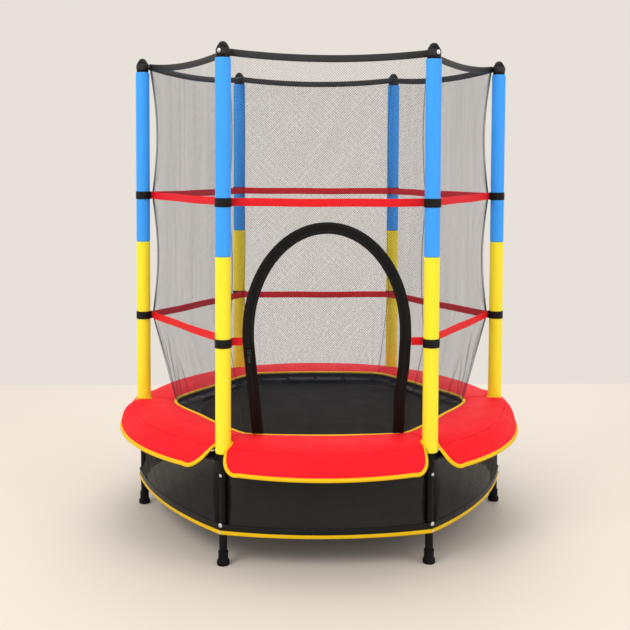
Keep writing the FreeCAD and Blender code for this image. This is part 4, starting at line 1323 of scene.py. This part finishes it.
def add_pads():
    """Closed covers. What is drawn on them marks painted shade: along the flap's fold crease, where two
    pads meet, and on the inside wall.
    """
    for side in SIDES:
        top, under, crease_shade_values = pad_rows(side)
        shape = Shape().surface(top + under[::-1], turn=60 * side)
        for column in (0, -1):
            upper = [row[column] for row in top]
            lower = [row[column] for row in under]
            shape.surface([upper, lower] if column == 0 else [lower, upper], turn=60 * side)
        pad = shape.make(f"pad_cover_{side + 1}", "pad_red", nodes=[f"pad_section_{side + 1}"])
        count, wall = len(shape.points), 2 * len(top[0])
        # Painted shade along the fold crease and where two pads meet, read by the material.
        draw_on(pad, "crease", crease_shade_values + [0.0] * (count - len(crease_shade_values)))
        # The inside wall's points carry painted shade, near-black in the material.
        draw_on(pad, "wall_shade", [1.0] * wall + [0.0] * (count - wall))
        pad.modifiers.new("weld", "WELD").merge_threshold = 0.02 * MM
        add_pad_piping(side, top, under)


def bite(place):
    """How far down the pad's edge the tape sits: an eighth beside the pole, a quarter at the hem."""
    return 0.12 + 0.14 * smooth((from_axis(place) - 655 * MM) / (30 * MM))


def add_pad_piping(side, top, under):
    """Bias tape folded over the pad's hem, notches and inner edge."""
    start = next(i for i, row in enumerate(top) if from_axis(row[0]) > 607.2 * MM)
    notch = range(start, len(top) - 1)
    pairs = [(top[i][0], under[i][0]) for i in notch]
    pairs += list(zip(top[-1], under[-1]))[1:-1]
    pairs += [(top[i][-1], under[i][-1]) for i in reversed(notch)]
    path = resample([high.lerp(low, bite(high)) for high, low in pairs], 4 * MM)
    shape = Shape().folded_tape(path, 12.5 * MM, 6.4 * MM, 60 * side)
    inner = [Vector((p.x, p.y, 374.2 * MM)) for p in top[1]]
    outs = [-outward(p) for p in inner]
    shape.sweep(inner, outs, rounded(7.4 * MM, 12.0 * MM, 3.2 * MM), 60 * side)
    shape.make(f"pad_piping_{side + 1}", "piping_yellow")


# Skirt

def skirt_radius(angle, z):
    """Outer face of the skirt: round at the ring and bowed out between the legs at the hem."""
    hem = bowed(angle, POST_R + TUBE_R + 1.3 * MM, SKIRT_BULGE)
    ring = POST_R + TUBE_R + 2.4 * MM
    return hem + (ring - hem) * (z - HEM_Z) / (RING_Z - HEM_Z)


def skirt_angles(count):
    return [-30 + 60 * i / count for i in range(count + 1)]


def skirt_point(angle, level, side):
    """A point of the mesh, tucked in behind each leg and a little slack. level is 1 at the ring."""
    z = HEM_Z + (RING_Z - HEM_Z) * level
    radius = skirt_radius(angle, z) - 0.8 * MM
    lateral = radius * math.sin(math.radians(30 - abs(angle)))
    slack_here = math.sin(math.pi * level)
    wide = 155 * MM * slack_here**2 if beside_side_post(angle, side) else 14 * MM * slack_here
    tuck = 1 - smooth((lateral - 16.5 * MM) / (5 * MM + wide))
    slack = smooth((lateral - 20 * MM) / (90 * MM)) * slack_here
    fold = noise.noise(Vector((angle * 0.16, z * 9, side * 2.3))) * 4 * MM * slack
    drape = math.sin(angle * 0.9 + 14 * z + side) * 1.2 * MM * slack
    radius += min(fold + drape, 2.5 * MM) - slack * 2.5 * MM
    return polar(radius - tuck * SKIRT_TUCK, FRONT + angle, z)


def skirt_line(z, proud):
    """A level line along one side, a little outside the skirt."""
    return [polar(skirt_radius(angle, z) + proud, FRONT + angle, z) for angle in skirt_angles(36)]


def add_skirt():
    """The mesh, and the webbing and yellow binding along its hem."""
    levels = 44
    for side in SIDES:
        rows = []
        for j in range(levels + 1):
            rows.append([skirt_point(angle, j / levels, side) for angle in skirt_angles(120)])
        shape = Shape().surface(rows, turn=60 * side)
        skirt = shape.make(f"skirt_side_{side + 1}", "skirt_mesh", nodes=["skirt_mesh"])
    band, edge = Shape(), Shape()
    outs = [polar(1.0, FRONT + angle) for angle in skirt_angles(36)]
    high = skirt_line(HEM_Z + HEM_HEIGHT / 2, 1.1 * MM)
    low = skirt_line(HEM_Z - 6.1 * MM, 1.9 * MM)
    for side in SIDES:
        band.sweep(high, outs, rounded(HEM_HEIGHT, 1.8 * MM, 0.8 * MM), 60 * side)
        edge.sweep(low, outs, rounded(12.4 * MM, 4.4 * MM, 2.0 * MM), 60 * side)
    band.make("skirt_tape", "skirt_webbing", nodes=["skirt_band"])
    edge.make("skirt_piping", "piping_yellow", nodes=["skirt_binding"])


def dress_frame_nodes():
    """Better materials on the CAD nodes that stay."""
    kept = {"galvanised_steel": ("lower_poles", "upper_poles"), "zip_metal": ("zip_slider", "zip_pull")}
    for slot, nodes in kept.items():
        for node in nodes:
            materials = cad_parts[node].data.materials
            materials.clear()
            materials.append(LOOKS[slot].material)


bpy.context.scene.view_settings.view_transform = "Standard"
add_camera()
add_world()
add_floor()
add_lamps()
add_legs()
add_ring()
add_feet()
add_bolts()
add_foam()
add_caps()
add_ties()
add_band()
add_net()
add_net_seams()
add_straps()
add_door()
add_mat()
add_rings()
add_springs()
add_net_hem_shade()
add_pads()
add_skirt()
dress_frame_nodes()
